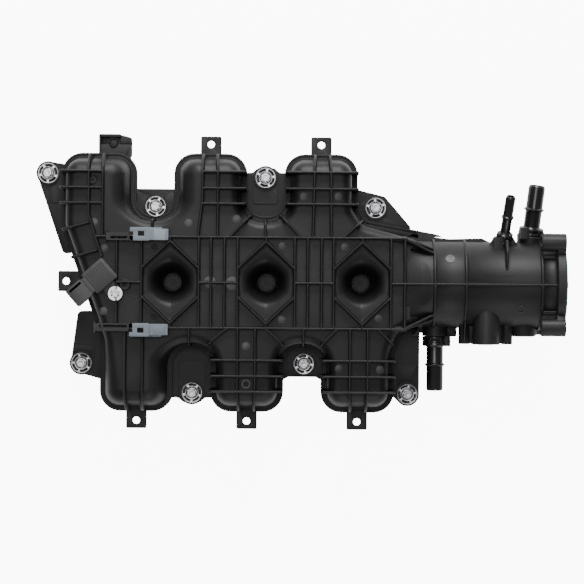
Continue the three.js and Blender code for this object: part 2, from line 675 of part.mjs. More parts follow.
function makePlenumPan() {
  const corners = panCorners();
  const top = SEAM_LOW;
  const body = plate(rounded(corners), PAN_BOTTOM, top);
  const hollow = plate(rounded(corners, WALL + 1), PAN_BOTTOM + WALL, top + 1);
  const posts = PIT_XS.map((x) => bar(TIE_POST_RADIUS, PAN_BOTTOM, top - 0.2, x, 0));
  const feet = PIT_XS.map((x) => bar(FOOT_RADIUS, 0, PAN_BOTTOM + WALL, x, 0));
  const bores = PIT_XS.map((x) => {
    return bar(TIE_SHANK + TIE_CLEARANCE, TIE_BOTTOM - 1, top + 1, x, 0, 10);
  });
  const way = barAlong([0, 0, NECK_Z], [1, 0, 0], NECK_BORE, NECK_JOIN_X - 12, NECK_JOIN_X + 1, 24);
  return join(body.subtract(hollow), posts, feet).subtract(join(way, bores));
}

function makeNeck() {
  const flangeX = NECK_END_X - THROTTLE_FLANGE.thickness;
  const profile = [[NECK_BORE, NECK_JOIN_X], [NECK_OUTER, NECK_JOIN_X]];
  NECK_RINGS.map((along) => NECK_JOIN_X + along).forEach((x) => {
    const crest = NECK_OUTER + NECK_RING_HEIGHT;
    profile.push([NECK_OUTER, x - RIB / 2], [crest, x - RIB / 2]);
    profile.push([crest, x + RIB / 2], [NECK_OUTER, x + RIB / 2]);
  });
  profile.push([NECK_OUTER, flangeX], [THROTTLE_FLANGE.radius, flangeX]);
  profile.push([THROTTLE_FLANGE.radius, NECK_END_X], [NECK_BORE, NECK_END_X]);
  const tube = turned(profile, 24).rotateY(Math.PI / 2).translate(0, 0, NECK_Z);
  const pieces = [solid(tube)];
  throttleBolts().forEach((at) => {
    const from = NECK_END_X - THROTTLE_BOLT.bossLength;
    pieces.push(barAlong(at, [1, 0, 0], THROTTLE_BOLT.boss, from, NECK_END_X));
    const lean = new THREE.Vector3(0, at[1], at[2] - NECK_Z);
    const inner = NECK_OUTER - 2;
    const reach = lean.length() - inner;
    const { thickness } = THROTTLE_FLANGE;
    const web = new THREE.BoxGeometry(thickness, 2 * THROTTLE_BOLT.boss, reach);
    web.rotateX(Math.atan2(-lean.y, lean.z));
    lean.setLength(inner + reach / 2);
    web.translate(NECK_END_X - thickness / 2, lean.y, NECK_Z + lean.z);
    pieces.push(solid(web));
  });
  const ribTop = NECK_Z + NECK_OUTER + NECK_RING_HEIGHT;
  pieces.push(block(NECK_JOIN_X, flangeX, -RIB / 2, RIB / 2, ribTop - 6, ribTop));
  pieces.push(...stubPieces());
  FITTING_PLACES.forEach(({ at, way, collar }) => {
    pieces.push(barAlong(at, way, collar, -18, -FITTING_CLEARANCE));
  });
  const cuts = [
    barAlong([0, 0, NECK_Z], [1, 0, 0], NECK_BORE, NECK_JOIN_X - 1, NECK_END_X + 1, 24),
  ];
  FITTING_PLACES.forEach(({ at, way, tube: radius, bore }) => {
    cuts.push(barAlong(at, way, radius + FITTING_CLEARANCE, -SPIGOT_DEPTH - 0.5, 1));
    cuts.push(barAlong(at, way, bore, -24, 0));
  });
  throttleBolts().forEach((at) => {
    const depth = INSERT.length + 1;
    const bore = INSERT.outer + INSERT.clearance;
    cuts.push(barAlong(at, [1, 0, 0], bore, NECK_END_X - depth, NECK_END_X + 1));
  });
  const groove = turned([
    [GASKET.inner - GASKET.clearance, NECK_END_X - GASKET.depth - GASKET.clearance],
    [GASKET.outer + GASKET.clearance, NECK_END_X - GASKET.depth - GASKET.clearance],
    [GASKET.outer + GASKET.clearance, NECK_END_X + 1],
    [GASKET.inner - GASKET.clearance, NECK_END_X + 1],
  ], 24);
  cuts.push(solid(groove.rotateY(Math.PI / 2).translate(0, 0, NECK_Z)));
  return join(pieces).subtract(join(cuts));
}

/** Centres of the four throttle bolts, on the plane x = 0. */
function throttleBolts() {
  return [[1, 1], [1, -1], [-1, -1], [-1, 1]].map(([a, b]) => {
    return [0, a * THROTTLE_BOLT.y, NECK_Z + b * THROTTLE_BOLT.z];
  });
}

/** The blank side stub under the neck's front, with two screw columns. */
function stubPieces() {
  const { halfWidth, radius, column, columnX } = STUB;
  const x = NECK_JOIN_X + STUB.along;
  const reach = NECK_OUTER + STUB.reach;
  const root = -NECK_OUTER + 12;
  const pad = block(x - halfWidth, x + halfWidth, -reach + 7, root, NECK_Z - 12, NECK_Z + 12);
  const barrel = barAlong([x, 0, NECK_Z], [0, -1, 0], radius, -root, reach);
  const columns = [-1, 1].map((side) => {
    return barAlong([x + side * columnX, 0, NECK_Z], [0, -1, 0], column, -root, reach - 1);
  });
  return [pad, barrel, ...columns];
}

// ---- sensor and clips ------------------------------------------------------------
const sensorTurn = THREE.MathUtils.degToRad(SENSOR.turn);

/** A box in the sensor's own directions: along, across and height. */
function sensorBlock(a0, a1, b0, b1, z0, z1) {
  const box = new THREE.BoxGeometry(a1 - a0, b1 - b0, z1 - z0);
  box.translate((a0 + a1) / 2, (b0 + b1) / 2, (z0 + z1) / 2);
  return solid(box.rotateZ(sensorTurn).translate(SENSOR_X, SENSOR.y, 0));
}

/** The screw's place: on an ear at the sensor's front corner. */
function screwPlace() {
  const angle = sensorTurn - Math.PI / 2;
  return [
    SENSOR_X + SENSOR_SCREW.along * Math.cos(angle),
    SENSOR.y + SENSOR_SCREW.along * Math.sin(angle),
  ];
}

function sensorSolids(grow) {
  const base = ROOF + WELD_GAP - grow;
  const length = SENSOR.length / 2 + grow;
  const width = SENSOR.width / 2 + grow;
  const plugEnd = -SENSOR.length / 2 - SENSOR_PLUG.length + 4 - grow;
  const plugTop = base + 4 + SENSOR_PLUG.height + 2 * grow;
  const [x, y] = screwPlace();
  return [
    sensorBlock(-length, length, -width, width, base, base + SENSOR.height + 2 * grow),
    sensorBlock(
      plugEnd, 0, -SENSOR_PLUG.width / 2 - grow, SENSOR_PLUG.width / 2 + grow, base + 4, plugTop,
    ),
    sensorBlock(-7 - grow, 7 + grow, -SENSOR_SCREW.along, 0, base, base + 6 + 2 * grow),
    bar(7 + grow, base, base + 6 + 2 * grow, x, y),
  ];
}

/** The space that the ribs leave free round the sensor. */
function sensorClearance() {
  const [x, y] = screwPlace();
  const margin = 0.6;
  const screw = bar(SENSOR_SCREW.washer + margin, ROOF, FAR, x, y);
  const body = join(sensorSolids(margin), screw);
  return body.subtract(block(-FAR, FAR, -FAR, FAR, 0, ROOF));
}

function makeSensor() {
  const base = ROOF + WELD_GAP;
  const nipple = bar(
    SENSOR_NIPPLE.radius, base - SENSOR_NIPPLE.length, base + 2, SENSOR_X, SENSOR.y,
  );
  const grooveTop = base - 3.5;
  const groove = turned([
    [SENSOR_NIPPLE.radius - 1.5, grooveTop - 2.4],
    [SENSOR_NIPPLE.radius + 1, grooveTop - 2.4],
    [SENSOR_NIPPLE.radius + 1, grooveTop],
    [SENSOR_NIPPLE.radius - 1.5, grooveTop],
  ]);
  const hole = solid(groove.translate(SENSOR_X, SENSOR.y, 0));
  const pressureBore = bar(1.2, base - SENSOR_NIPPLE.length - 1, base + 1, SENSOR_X, SENSOR.y, 12);
  const [x, y] = screwPlace();
  const screwBore = bar(SENSOR_SCREW.radius + 0.4, base - 1, base + 8, x, y, 10);
  const plugBack = -SENSOR.length / 2 - SENSOR_PLUG.length + 4;
  const half = SENSOR_PLUG.width / 2 - 2;
  const socket = sensorBlock(plugBack - 1, plugBack + 14, -half, half, base + 6, base + 14);
  return join(sensorSolids(0), nipple).subtract(join(hole, pressureBore, screwBore, socket));
}

/** One retaining clip: a flat top astride the main rib, with a leg on its outer side. */
function makeClip(side) {
  const { length, width, thickness, drop, standOff } = CLIP;
  const x0 = LEFT_X + CLIP.inset;
  const inner = MAIN_RIB_Y - 4;
  const outer = inner + width;
  const top = RIB_TOP + standOff + thickness;
  const leg = MAIN_RIB_Y + RIB / 2 + standOff;
  const y = (a, b) => (side > 0 ? [a, b] : [-b, -a]);
  const slab = block(x0, x0 + length, ...y(inner, outer), RIB_TOP + standOff, top);
  const wall = block(x0, x0 + length, ...y(leg, outer), RIB_TOP - drop, top - 1);
  const window = block(x0 + 7, x0 + 14, ...y(inner + 4, outer - 3), 0, FAR);
  const mouth = block(x0 - 1, x0 + 3, ...y(inner + 4.5, outer - 4), 0, FAR);
  return join(slab, wall).subtract(join(window, mouth));
}

/** The space that the ribs leave free round a clip's leg. */
function clipClearance(side) {
  const { length, width, drop, standOff } = CLIP;
  const x0 = LEFT_X + CLIP.inset;
  const a = MAIN_RIB_Y + RIB / 2 + 0.05;
  const b = MAIN_RIB_Y - 4 + width + standOff;
  const [y0, y1] = side > 0 ? [a, b] : [-b, -a];
  return block(x0 - 1, x0 + length + 1, y0, y1, RIB_TOP - drop - standOff, FAR);
}

// ---- small turned pieces ---------------------------------------------------------
function boltGeometry() {
  const seat = SEAM_HIGH + RETAINER.height + 2 * WELD_GAP;
  const { flange, flangeHeight, acrossFlats, height } = BOLT_HEAD;
  const stem = turned([
    [0, BOLT_TIP], [SHANK - 0.6, BOLT_TIP], [SHANK, BOLT_TIP + 1.2], [SHANK, seat],
    [flange, seat], [flange, seat + 0.8], [flange - 1, seat + flangeHeight],
    [0, seat + flangeHeight],
  ], 10);
  const hexRadius = acrossFlats / Math.sqrt(3);
  const hex = bar(hexRadius, seat + 0.5, seat + height, 0, 0, 6);
  return toGeometry(solid(stem).add(hex));
}

function retainerGeometry() {
  const z0 = SEAM_HIGH + WELD_GAP;
  const { outer, bore, height } = RETAINER;
  return toGeometry(solid(turned([
    [bore, z0], [outer, z0], [outer, z0 + height - 0.8], [outer - 0.8, z0 + height],
    [bore, z0 + height],
  ])));
}

function tiePostGeometry() {
  const seat = WELL_FLOOR + WELD_GAP;
  const { radius, top } = TIE_HEAD;
  return toGeometry(solid(turned([
    [0, TIE_BOTTOM], [TIE_SHANK, TIE_BOTTOM], [TIE_SHANK, seat], [radius, seat],
    [radius, top - 1], [radius - 1, top], [4, top], [3.4, top - 1.5], [0, top - 1.5],
  ])));
}

/** A tube fitting along +Z from its seat: spigot, collar, tube, bead and lead-in. */
function fittingGeometry({ tube, bore, collar, collarLength, length }) {
  const bead = length * 0.52;
  return toGeometry(solid(turned([
    [bore, -SPIGOT_DEPTH], [tube, -SPIGOT_DEPTH], [tube, 0], [collar, 0],
    [collar, collarLength], [tube, collarLength + 1.5], [tube, bead - 1.5],
    [tube * 1.22, bead - 0.8], [tube * 1.22, bead + 0.8], [tube, bead + 1.5],
    [tube, length - 2], [tube - 1, length], [bore, length],
  ])));
}

// ---- the assembly ----------------------------------------------------------------
addPiece("upper_shell", toGeometry(makeUpperShell()), "nylon");
addPiece("runner_shell", toGeometry(makeRunnerShell()), "nylon");
addPiece("port_rail_rear", toGeometry(makePortRail(1)), "nylon");
addPiece("port_rail_front", toGeometry(makePortRail(-1)), "nylon");
addPiece("plenum_pan", toGeometry(makePlenumPan()), "nylon");
addPiece("throttle_neck", toGeometry(makeNeck()), "nylon");

PORTS.forEach(({ x, y }, i) => {
  const seal = ring(0, 0, SEAL_OFFSET, SEAL_OFFSET + SEAL_WIDTH, 0, SEAL_HEIGHT);
  addPiece(`port_seal_${i + 1}`, toGeometry(seal), "rubber", [x, y, 0.05]);
});

BOLT_PLACES.forEach(({ x, y }, i) => {
  addPiece(`bolt_retainer_${i + 1}`, retainerGeometry(), "steel", [x, y, 0]);
  addPiece(`bolt_${i + 1}`, boltGeometry(), "steel", [x, y, 0]);
});

PIT_XS.forEach((x, i) => {
  addPiece(`tie_post_${i + 1}`, tiePostGeometry(), "nylon", [x, 0, 0]);
});

throttleBolts().forEach(([, y, z], i) => {
  const { outer, bore, length } = INSERT;
  const sleeve = turned([[bore, 0], [outer, 0], [outer, length], [bore, length]], 10);
  const x = NECK_END_X - length - INSERT.clearance;
  const mesh = addPiece(`throttle_insert_${i + 1}`, toGeometry(solid(sleeve)), "brass", [x, y, z]);
  mesh.rotation.y = Math.PI / 2;
});

const gasketX = NECK_END_X - GASKET.depth;
const gasketRing = solid(turned([
  [GASKET.inner, 0], [GASKET.outer, 0],
  [GASKET.outer, GASKET.depth + GASKET.proud], [GASKET.inner, GASKET.depth + GASKET.proud],
], 24));
const gasketTab = block(
  -GASKET.outer - GASKET_TAB.reach, -GASKET.inner - 0.5,
  -GASKET_TAB.width / 2, GASKET_TAB.width / 2,
  GASKET.depth + WELD_GAP, GASKET.depth + GASKET.proud,
);
const gasketGeometry = toGeometry(gasketRing.add(gasketTab));
const gasket = addPiece("throttle_gasket", gasketGeometry, "gasket", [gasketX, 0, NECK_Z]);
gasket.rotation.y = Math.PI / 2;

FITTING_PLACES.forEach((fitting) => {
  const mesh = addPiece(fitting.name, fittingGeometry(fitting), "nylon", fitting.at);
  const way = new THREE.Vector3(...fitting.way).normalize();
  mesh.quaternion.setFromUnitVectors(new THREE.Vector3(0, 0, 1), way);
});

addPiece("map_sensor", toGeometry(makeSensor()), "sensor");
const ringRadius = SENSOR_NIPPLE.radius - 0.6;
const ringZ = ROOF + WELD_GAP - 4.7;
const oRing = new THREE.TorusGeometry(ringRadius, 0.7, 5, 12);
addPiece("map_sensor_o_ring", oRing, "rubber", [SENSOR_X, SENSOR.y, ringZ]);
const [screwX, screwY] = screwPlace();
const screwSeat = 6 + WELD_GAP;
const screwBody = turned([
  [0, 0.2], [SENSOR_SCREW.radius, 0.2], [SENSOR_SCREW.radius, screwSeat],
  [SENSOR_SCREW.washer, screwSeat], [SENSOR_SCREW.washer, screwSeat + 1.2],
  [SENSOR_SCREW.head, screwSeat + 1.2], [SENSOR_SCREW.head, screwSeat + 4.6],
  [0, screwSeat + 4.6],
], 10);
const screwGeometry = toGeometry(solid(screwBody));
addPiece("map_sensor_screw", screwGeometry, "steel", [screwX, screwY, ROOF + WELD_GAP]);

addPiece("clip_rear", toGeometry(makeClip(1)), "clip");
addPiece("clip_front", toGeometry(makeClip(-1)), "clip");

export default manifold;
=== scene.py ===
"""Moulded V6 intake manifold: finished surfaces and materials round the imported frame.

Shapes are worked out in millimetres in the frame's axes (+X to the throttle, +Y to the
rear bank, +Z up from the port faces) and written to the meshes in metres.
"""

import math

import bmesh
import bpy
import numpy as np
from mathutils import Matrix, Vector
from mathutils.geometry import delaunay_2d_cdt


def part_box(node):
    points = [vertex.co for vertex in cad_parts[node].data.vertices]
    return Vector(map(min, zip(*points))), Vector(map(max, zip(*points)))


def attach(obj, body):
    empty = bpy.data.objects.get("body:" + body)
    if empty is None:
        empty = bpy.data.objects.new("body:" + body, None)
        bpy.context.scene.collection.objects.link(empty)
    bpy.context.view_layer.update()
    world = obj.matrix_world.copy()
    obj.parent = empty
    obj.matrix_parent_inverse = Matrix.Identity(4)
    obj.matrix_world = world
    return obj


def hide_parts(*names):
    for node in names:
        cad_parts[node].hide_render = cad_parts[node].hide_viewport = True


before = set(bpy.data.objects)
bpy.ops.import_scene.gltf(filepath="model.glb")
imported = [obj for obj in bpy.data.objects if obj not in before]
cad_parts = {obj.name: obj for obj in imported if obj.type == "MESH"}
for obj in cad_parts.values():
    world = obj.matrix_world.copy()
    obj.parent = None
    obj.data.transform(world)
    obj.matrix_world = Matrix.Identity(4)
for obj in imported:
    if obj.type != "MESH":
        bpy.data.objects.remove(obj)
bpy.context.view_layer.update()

# ---- measures --------------------------------------------------------------------
MM = 0.001


def span(node):
    """Lowest and highest corner of a frame node, in millimetres."""
    low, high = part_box(node)
    return np.array(low) / MM, np.array(high) / MM


def middle(node):
    """Middle of a frame node's box, in millimetres."""
    low, high = span(node)
    return (low + high) / 2


REAR, FRONT = 1, -1
PORTS = np.array([middle(f"port_seal_{k}")[:2] for k in range(1, 7)])
BOLTS = np.array([middle(f"bolt_{k}")[:2] for k in range(1, 9)])
PITS = [middle(f"tie_post_{k}")[0] for k in range(1, 4)]
BANK_NAME = {REAR: "rear", FRONT: "front"}
BANK_BOLTS = {REAR: BOLTS[:4], FRONT: BOLTS[4:]}
PITCH = PORTS[1, 0] - PORTS[0, 0]
LOBES = {REAR: PORTS[:3, 0], FRONT: PORTS[3:, 0]}
RIB_TOP = span("upper_shell")[1][2]
ROOF = RIB_TOP - 8
SEAM_HIGH = span("runner_shell")[1][2]
FLANGE_TOP = SEAM_HIGH + 4
NECK_JOIN = span("throttle_neck")[0][0]
NECK_END = span("throttle_neck")[1][0]
NECK_Z = middle("throttle_gasket")[2] - 1.8
LOBE_END = span("upper_shell")[1][1]
HALF = 35              # half a lobe's width over its flange
LOBE_CORNER = 19.5
WELD = 5.3             # from the flange's edge in to the hump
MAIN_RIB_Y = 42.75
RIB = 2.4
VALLEY = 64            # from the middle out to the valleys between lobes
PIT_HALF = 25.8        # half a pit's hexagon along the row of pits
LEFT = LOBES[REAR][0] - HALF - 1.6
NECK_OUTER = 41
NECK_BORE = 37
ROOF_ROUND = 9
WELL_RADIUS = 9.8
WELL_FLOOR = 49.5
NECK_STEPS = 128
SHANK = 3.0
BOLT_BORE = 3.9
LUG_RADIUS = 11.5
COLUMN_RADIUS = 9
BOX_POINTS = 36        # points of a rounded outline with four corners
TAB_REACH = 22
TAB_WIDTH = 19.7
BODY = "manifold"


# ---- surfaces --------------------------------------------------------------------
def grid_cells(rows, columns, closed=True):
    """Quads between neighbouring points of a grid whose rows may close on themselves."""
    i, j = np.meshgrid(
        np.arange(rows - 1), np.arange(columns if closed else columns - 1), indexing="ij"
    )
    right = (j + 1) % columns
    cells = [i * columns + j, i * columns + right, (i + 1) * columns + right, (i + 1) * columns + j]
    return np.stack(cells, -1).reshape(-1, 4).tolist()


def skin(rings, caps=(True, True)):
    """Surface through a stack of closed rings (m, n, 3), with a flat face at chosen ends."""
    rows, columns, _ = rings.shape
    cells = grid_cells(rows, columns)
    if caps[0]:
        cells.append(list(range(columns))[::-1])
    if caps[1]:
        cells.append(list(range((rows - 1) * columns, rows * columns)))
    return rings.reshape(-1, 3), cells


def rounded(corners, inset=0.0, steps=8):
    """Closed outline: each corner [x, y, radius] becomes an arc between its two edges.

    Every edge moves inwards by inset, and the radii shrink at outer corners and grow at
    inner ones by as much. An arc's middle is where both edges, moved by its radius, meet.
    """
    corner = np.array(corners, float)
    place, radius = corner[:, :2], corner[:, 2]
    ahead = np.roll(place, -1, 0) - place
    ahead /= np.linalg.norm(ahead, axis=1, keepdims=True)
    after = np.stack([-ahead[:, 1], ahead[:, 0]], 1)
    before = np.roll(after, 1, 0)
    level_after = (after * place).sum(1) + inset
    level_before = (before * place).sum(1) + inset
    turn = before[:, 0] * after[:, 1] - before[:, 1] * after[:, 0]
    side = np.sign(turn)
    radius = np.maximum(radius - side * inset, 0.3)
    a, b = level_before + side * radius, level_after + side * radius
    centre = np.stack([
        (a * after[:, 1] - b * before[:, 1]) / turn,
        (before[:, 0] * b - after[:, 0] * a) / turn,
    ], 1)
    start = np.arctan2(-side * before[:, 1], -side * before[:, 0])
    sweep = np.arctan2(turn, (before * after).sum(1))
    angle = start[:, None] + sweep[:, None] * np.linspace(0, 1, steps + 1)
    arc = np.stack([np.cos(angle), np.sin(angle)], -1)
    return (centre[:, None] + radius[:, None, None] * arc).reshape(-1, 2)


def box_corners(x, y, length, width, radius):
    """Corners of a rectangle about (x, y)."""
    a, b = length / 2, width / 2
    return [[x - a, y - b, radius], [x + a, y - b, radius], [x + a, y + b, radius],
            [x - a, y + b, radius]]


def circle(x, y, radius, steps=48):
    """Points of a circle, anticlockwise."""
    angle = np.linspace(0, math.tau, steps, endpoint=False)
    return np.stack([x + radius * np.cos(angle), y + radius * np.sin(angle)], 1)


def flat_cells(outlines, holes):
    """Triangles that fill the union of the outlines less the holes: (points, triangles)."""
    loops = list(outlines) + list(holes)
    points = np.concatenate(loops)
    starts = np.cumsum([0] + [len(loop) for loop in loops])
    faces = [list(range(a, b)) for a, b in zip(starts[:-1], starts[1:])]
    flat = [Vector(point) for point in points.tolist()]
    points, _, cells, _, _, sources = delaunay_2d_cdt(flat, [], faces, 1, 1e-4)
    solid = len(outlines)
    kept = [c for c, ids in zip(cells, sources) if ids and max(ids) < solid]
    return np.array([list(point) for point in points]), kept


def plate(outlines, holes, z0, z1):
    """Slab from z0 up to z1: filled faces above and below, walls on edges used once."""
    points, cells = flat_cells(outlines, holes)
    count = len(points)
    low = np.column_stack([points, np.full(count, z0)])
    high = np.column_stack([points, np.full(count, z1)])
    triangles = np.array(cells)
    edges = np.concatenate([triangles[:, [0, 1]], triangles[:, [1, 2]], triangles[:, [2, 0]]])
    key = np.sort(edges, 1)
    _, back, uses = np.unique(key, axis=0, return_inverse=True, return_counts=True)
    rim = edges[uses[back.ravel()] == 1]
    walls = np.column_stack([rim[:, 0], rim[:, 1], rim[:, 1] + count, rim[:, 0] + count])
    used = np.unique(triangles)
    place = np.full(2 * count, -1)
    place[used] = np.arange(len(used))
    place[used + count] = np.arange(len(used)) + len(used)
    faces = place[triangles[:, ::-1]].tolist() + place[triangles + count].tolist()
    return np.concatenate([low[used], high[used]]), faces + place[walls].tolist()


def turned(profile, steps=64):
    """Rings of a solid of revolution about +Z, from its (radius, height) profile."""
    radius, height = np.array(profile, float).T
    angle = np.linspace(0, math.tau, steps, endpoint=False)
    radius = np.maximum(radius, 1e-3)
    return np.stack([
        radius[:, None] * np.cos(angle),
        radius[:, None] * np.sin(angle),
        np.repeat(height[:, None], steps, 1),
    ], -1)


def spindle(profile, steps=64):
    """Solid turned piece: its profile starts and ends at the axis."""
    return skin(turned(profile, steps))


def bush(profile, steps=64):
    """Hollow turned piece: the profile closes on itself, as a torus does."""
    return skin(turned(list(profile) + [profile[0]], steps), (False, False))


def moved(part, at=(0, 0, 0), way=(0, 0, 1), spin=0.0):
    """A part turned from +Z to point along way, after a spin about +Z, and set down at at."""
    points, cells = part
    turn = Vector((0, 0, 1)).rotation_difference(Vector(way).normalized()).to_matrix()
    c, s = math.cos(spin), math.sin(spin)
    spun = points @ np.array([[c, s, 0], [-s, c, 0], [0, 0, 1]])
    return spun @ np.array(turn).T + np.array(at), cells


def bar(x, y, length, width, radius, z0, z1, holes=()):
    """Round-cornered block about (x, y) from z0 up to z1, less its holes."""
    return plate([rounded(box_corners(x, y, length, width, radius))], list(holes), z0, z1)


def level_ring(angle, radius, height):
    """Level ring about the Z axis, with its own radius at each angle."""
    return np.column_stack([radius * np.cos(angle), radius * np.sin(angle),
                            np.full(len(angle), height)])


def neck_height(y):
    """Height of the round neck's outside over y, from the circle's formula."""
    return NECK_Z + np.sqrt(NECK_OUTER ** 2 - y ** 2)


def ribs_profile(width):
    """Flared foot, drafted sides, half-round crest: (across, from the foot, from the top)."""
    half = width / 2
    foot = [(half + 1.0, 0.0, 0), (half + 0.4, 0.35, 0), (half + 0.1, 1.1, 0)]
    crest = [(half - 0.1, 0, 1.0), (half - 0.45, 0, 0.3), (half * 0.3, 0, 0.0)]
    side = [(x, z, 0) for x, z, _ in foot] + [(x, t, 1) for x, _, t in crest]
    return np.array(side + [(-x, z, top) for x, z, top in side[::-1]])


def rib(base, height, width=RIB, up=None, sink=0.6):
    """Rib along a line of base points (n, 3): the profile is carried along the line.

    Across is the line's direction crossed with up, and each point's height scales the
    profile; sink is how far the foot reaches under the surface that it stands on.
    """
    base = np.array(base, float)
    count = len(base)
    up = np.tile([0.0, 0.0, 1.0], (count, 1)) if up is None else np.array(up, float)
    height = np.full(count, height, float) if np.isscalar(height) else np.array(height, float)
    along = np.gradient(base, axis=0)
    across = np.cross(along, up)
    across /= np.linalg.norm(across, axis=1, keepdims=True)
    profile = ribs_profile(width)
    total = height[:, None] + sink
    share = np.minimum(1, total / 3)
    reach = np.where(profile[:, 2] > 0, total - profile[:, 1] * share, profile[:, 1] * share) - sink
    rings = base[:, None] + across[:, None] * profile[:, :1] + up[:, None] * reach[..., None]
    return skin(rings)


def straight_rib(start, end, bottom, top, width=RIB):
    """Level rib between two points of the plan."""
    a, b = np.array(start, float), np.array(end, float)
    line = a + (b - a) * np.linspace(0, 1, 9)[:, None]
    return rib(np.column_stack([line, np.full(9, bottom)]), top - bottom, width)


# ---- materials -------------------------------------------------------------------
def node_group(name, inputs, outputs):
    """Empty shader group with named sockets; inputs give their default values."""
    group = bpy.data.node_groups.new(name, "ShaderNodeTree")
    for label, value in inputs.items():
        socket = group.interface.new_socket(label, in_out="INPUT", socket_type="NodeSocketFloat")
        socket.default_value = value
    for label, kind in outputs.items():
        group.interface.new_socket(label, in_out="OUTPUT", socket_type=kind)
    source = group.nodes.new("NodeGroupInput")
    sink = group.nodes.new("NodeGroupOutput")
    return group, source, sink


def wire(tree, start, end):
    """Links an output socket to an input socket."""
    tree.links.new(start, end)


def maths(tree, operation, a, b):
    """Maths node on two sockets or numbers; returns its output."""
    node = tree.nodes.new("ShaderNodeMath")
    node.operation = operation
    for socket, value in zip(node.inputs, (a, b)):
        if isinstance(value, (int, float)):
            socket.default_value = value
        else:
            wire(tree, value, socket)
    return node.outputs[0]


def noise(tree, scale, detail=4.0, roughness=0.6):
    """Noise on object coordinates; scale is a number or a socket."""
    place = tree.nodes.new("ShaderNodeTexCoord").outputs["Object"]
    node = tree.nodes.new("ShaderNodeTexNoise")
    node.inputs["Detail"].default_value = detail
    node.inputs["Roughness"].default_value = roughness
    wire(tree, place, node.inputs["Vector"])
    if isinstance(scale, (int, float)):
        node.inputs["Scale"].default_value = scale
    else:
        wire(tree, scale, node.inputs["Scale"])
    return node.outputs["Fac"]


def make_grain():
    """Moulded surface: fine grain for the bump, slow flow marks, and faint dusty specks."""
    group, source, sink = node_group(
        "moulded_grain",
        {"Grain Scale": 2600.0, "Flow Scale": 28.0, "Dust": 0.25},
        {"Height": "NodeSocketFloat", "Shade": "NodeSocketFloat", "Gloss": "NodeSocketFloat"},
    )
    fine = noise(group, source.outputs["Grain Scale"], 2.0)
    flow = noise(group, source.outputs["Flow Scale"], 5.0, 0.55)
    speck = noise(group, 900.0, 1.0)
    specks = maths(group, "GREATER_THAN", speck, 0.7)
    dust = maths(group, "MULTIPLY", specks, source.outputs["Dust"])
    wire(group, maths(group, "ADD", fine, maths(group, "MULTIPLY", flow, 0.4)),
         sink.inputs["Height"])
    shade = maths(group, "ADD", maths(group, "MULTIPLY", flow, 0.8),
                  maths(group, "MULTIPLY", fine, 0.2))
    wire(group, maths(group, "ADD", shade, dust), sink.inputs["Shade"])
    wire(group, maths(group, "ADD", maths(group, "MULTIPLY", flow, 0.7),
                      maths(group, "MULTIPLY", fine, 0.3)), sink.inputs["Gloss"])
    return group


def make_edge_highlight_group():
    """Painted highlight: convex edges made lighter by pointiness, broken up by noise."""
    group, source, sink = node_group(
        "painted_edge_highlight", {"Reach": 0.52, "Amount": 1.0}, {"Mask": "NodeSocketFloat"}
    )
    point = group.nodes.new("ShaderNodeNewGeometry").outputs["Pointiness"]
    raised = maths(group, "MULTIPLY", maths(group, "SUBTRACT", point, source.outputs["Reach"]), 14.0)
    broken = maths(group, "MULTIPLY", raised, maths(group, "ADD", noise(group, 160.0), 0.3))
    scaled = group.nodes.new("ShaderNodeMath")
    scaled.operation = "MULTIPLY"
    scaled.use_clamp = True
    wire(group, broken, scaled.inputs[0])
    wire(group, source.outputs["Amount"], scaled.inputs[1])
    wire(group, scaled.outputs[0], sink.inputs["Mask"])
    return group


GRAIN = make_grain()
EDGE_HIGHLIGHT_GROUP = make_edge_highlight_group()


GRAIN_DEPTH = 0.0002


def material(name, dark, light, highlight_colour, rough, metallic=0.0, bump=0.15, grain=2600.0, flow=28.0,
             dust=0.1, highlight_amount=0.6, specular=0.5):
    """Principled surface whose colour, roughness and bump come from grain, with a painted highlight
    in a lighter colour on convex edges.
    """
    made = bpy.data.materials.new(name)
    made.use_nodes = True
    tree = made.node_tree
    shader = tree.nodes["Principled BSDF"]
    shader.inputs["Metallic"].default_value = metallic
    shader.inputs["Specular IOR Level"].default_value = specular
    surface = tree.nodes.new("ShaderNodeGroup")
    surface.node_tree = GRAIN
    surface.inputs["Grain Scale"].default_value = grain
    surface.inputs["Flow Scale"].default_value = flow
    surface.inputs["Dust"].default_value = dust
    # painted highlight: the third colour lightens convex edges where light would catch them
    edge = tree.nodes.new("ShaderNodeGroup")
    edge.node_tree = EDGE_HIGHLIGHT_GROUP
    edge.inputs["Amount"].default_value = highlight_amount
    ramp = tree.nodes.new("ShaderNodeValToRGB")
    for stop, position, colour in zip(ramp.color_ramp.elements, (0.3, 0.75), (dark, light)):
        stop.position = position
        stop.color = (*colour, 1)
    wire(tree, surface.outputs["Shade"], ramp.inputs["Fac"])
    mix = tree.nodes.new("ShaderNodeMix")
    mix.data_type = "RGBA"
    mix.inputs["B"].default_value = (*highlight_colour, 1)
    wire(tree, edge.outputs["Mask"], mix.inputs["Factor"])
    wire(tree, ramp.outputs["Color"], mix.inputs["A"])
    wire(tree, mix.outputs["Result"], shader.inputs["Base Color"])
    low, high = rough
    gloss = maths(tree, "ADD", maths(tree, "MULTIPLY", surface.outputs["Gloss"], high - low), low)
    wire(tree, gloss, shader.inputs["Roughness"])
    relief = tree.nodes.new("ShaderNodeBump")
    relief.inputs["Strength"].default_value = bump
    relief.inputs["Distance"].default_value = GRAIN_DEPTH
    wire(tree, surface.outputs["Height"], relief.inputs["Height"])
    wire(tree, relief.outputs["Normal"], shader.inputs["Normal"])
    return made


def grey(value):
    """Neutral colour."""
    return (value, value, value * 1.03)
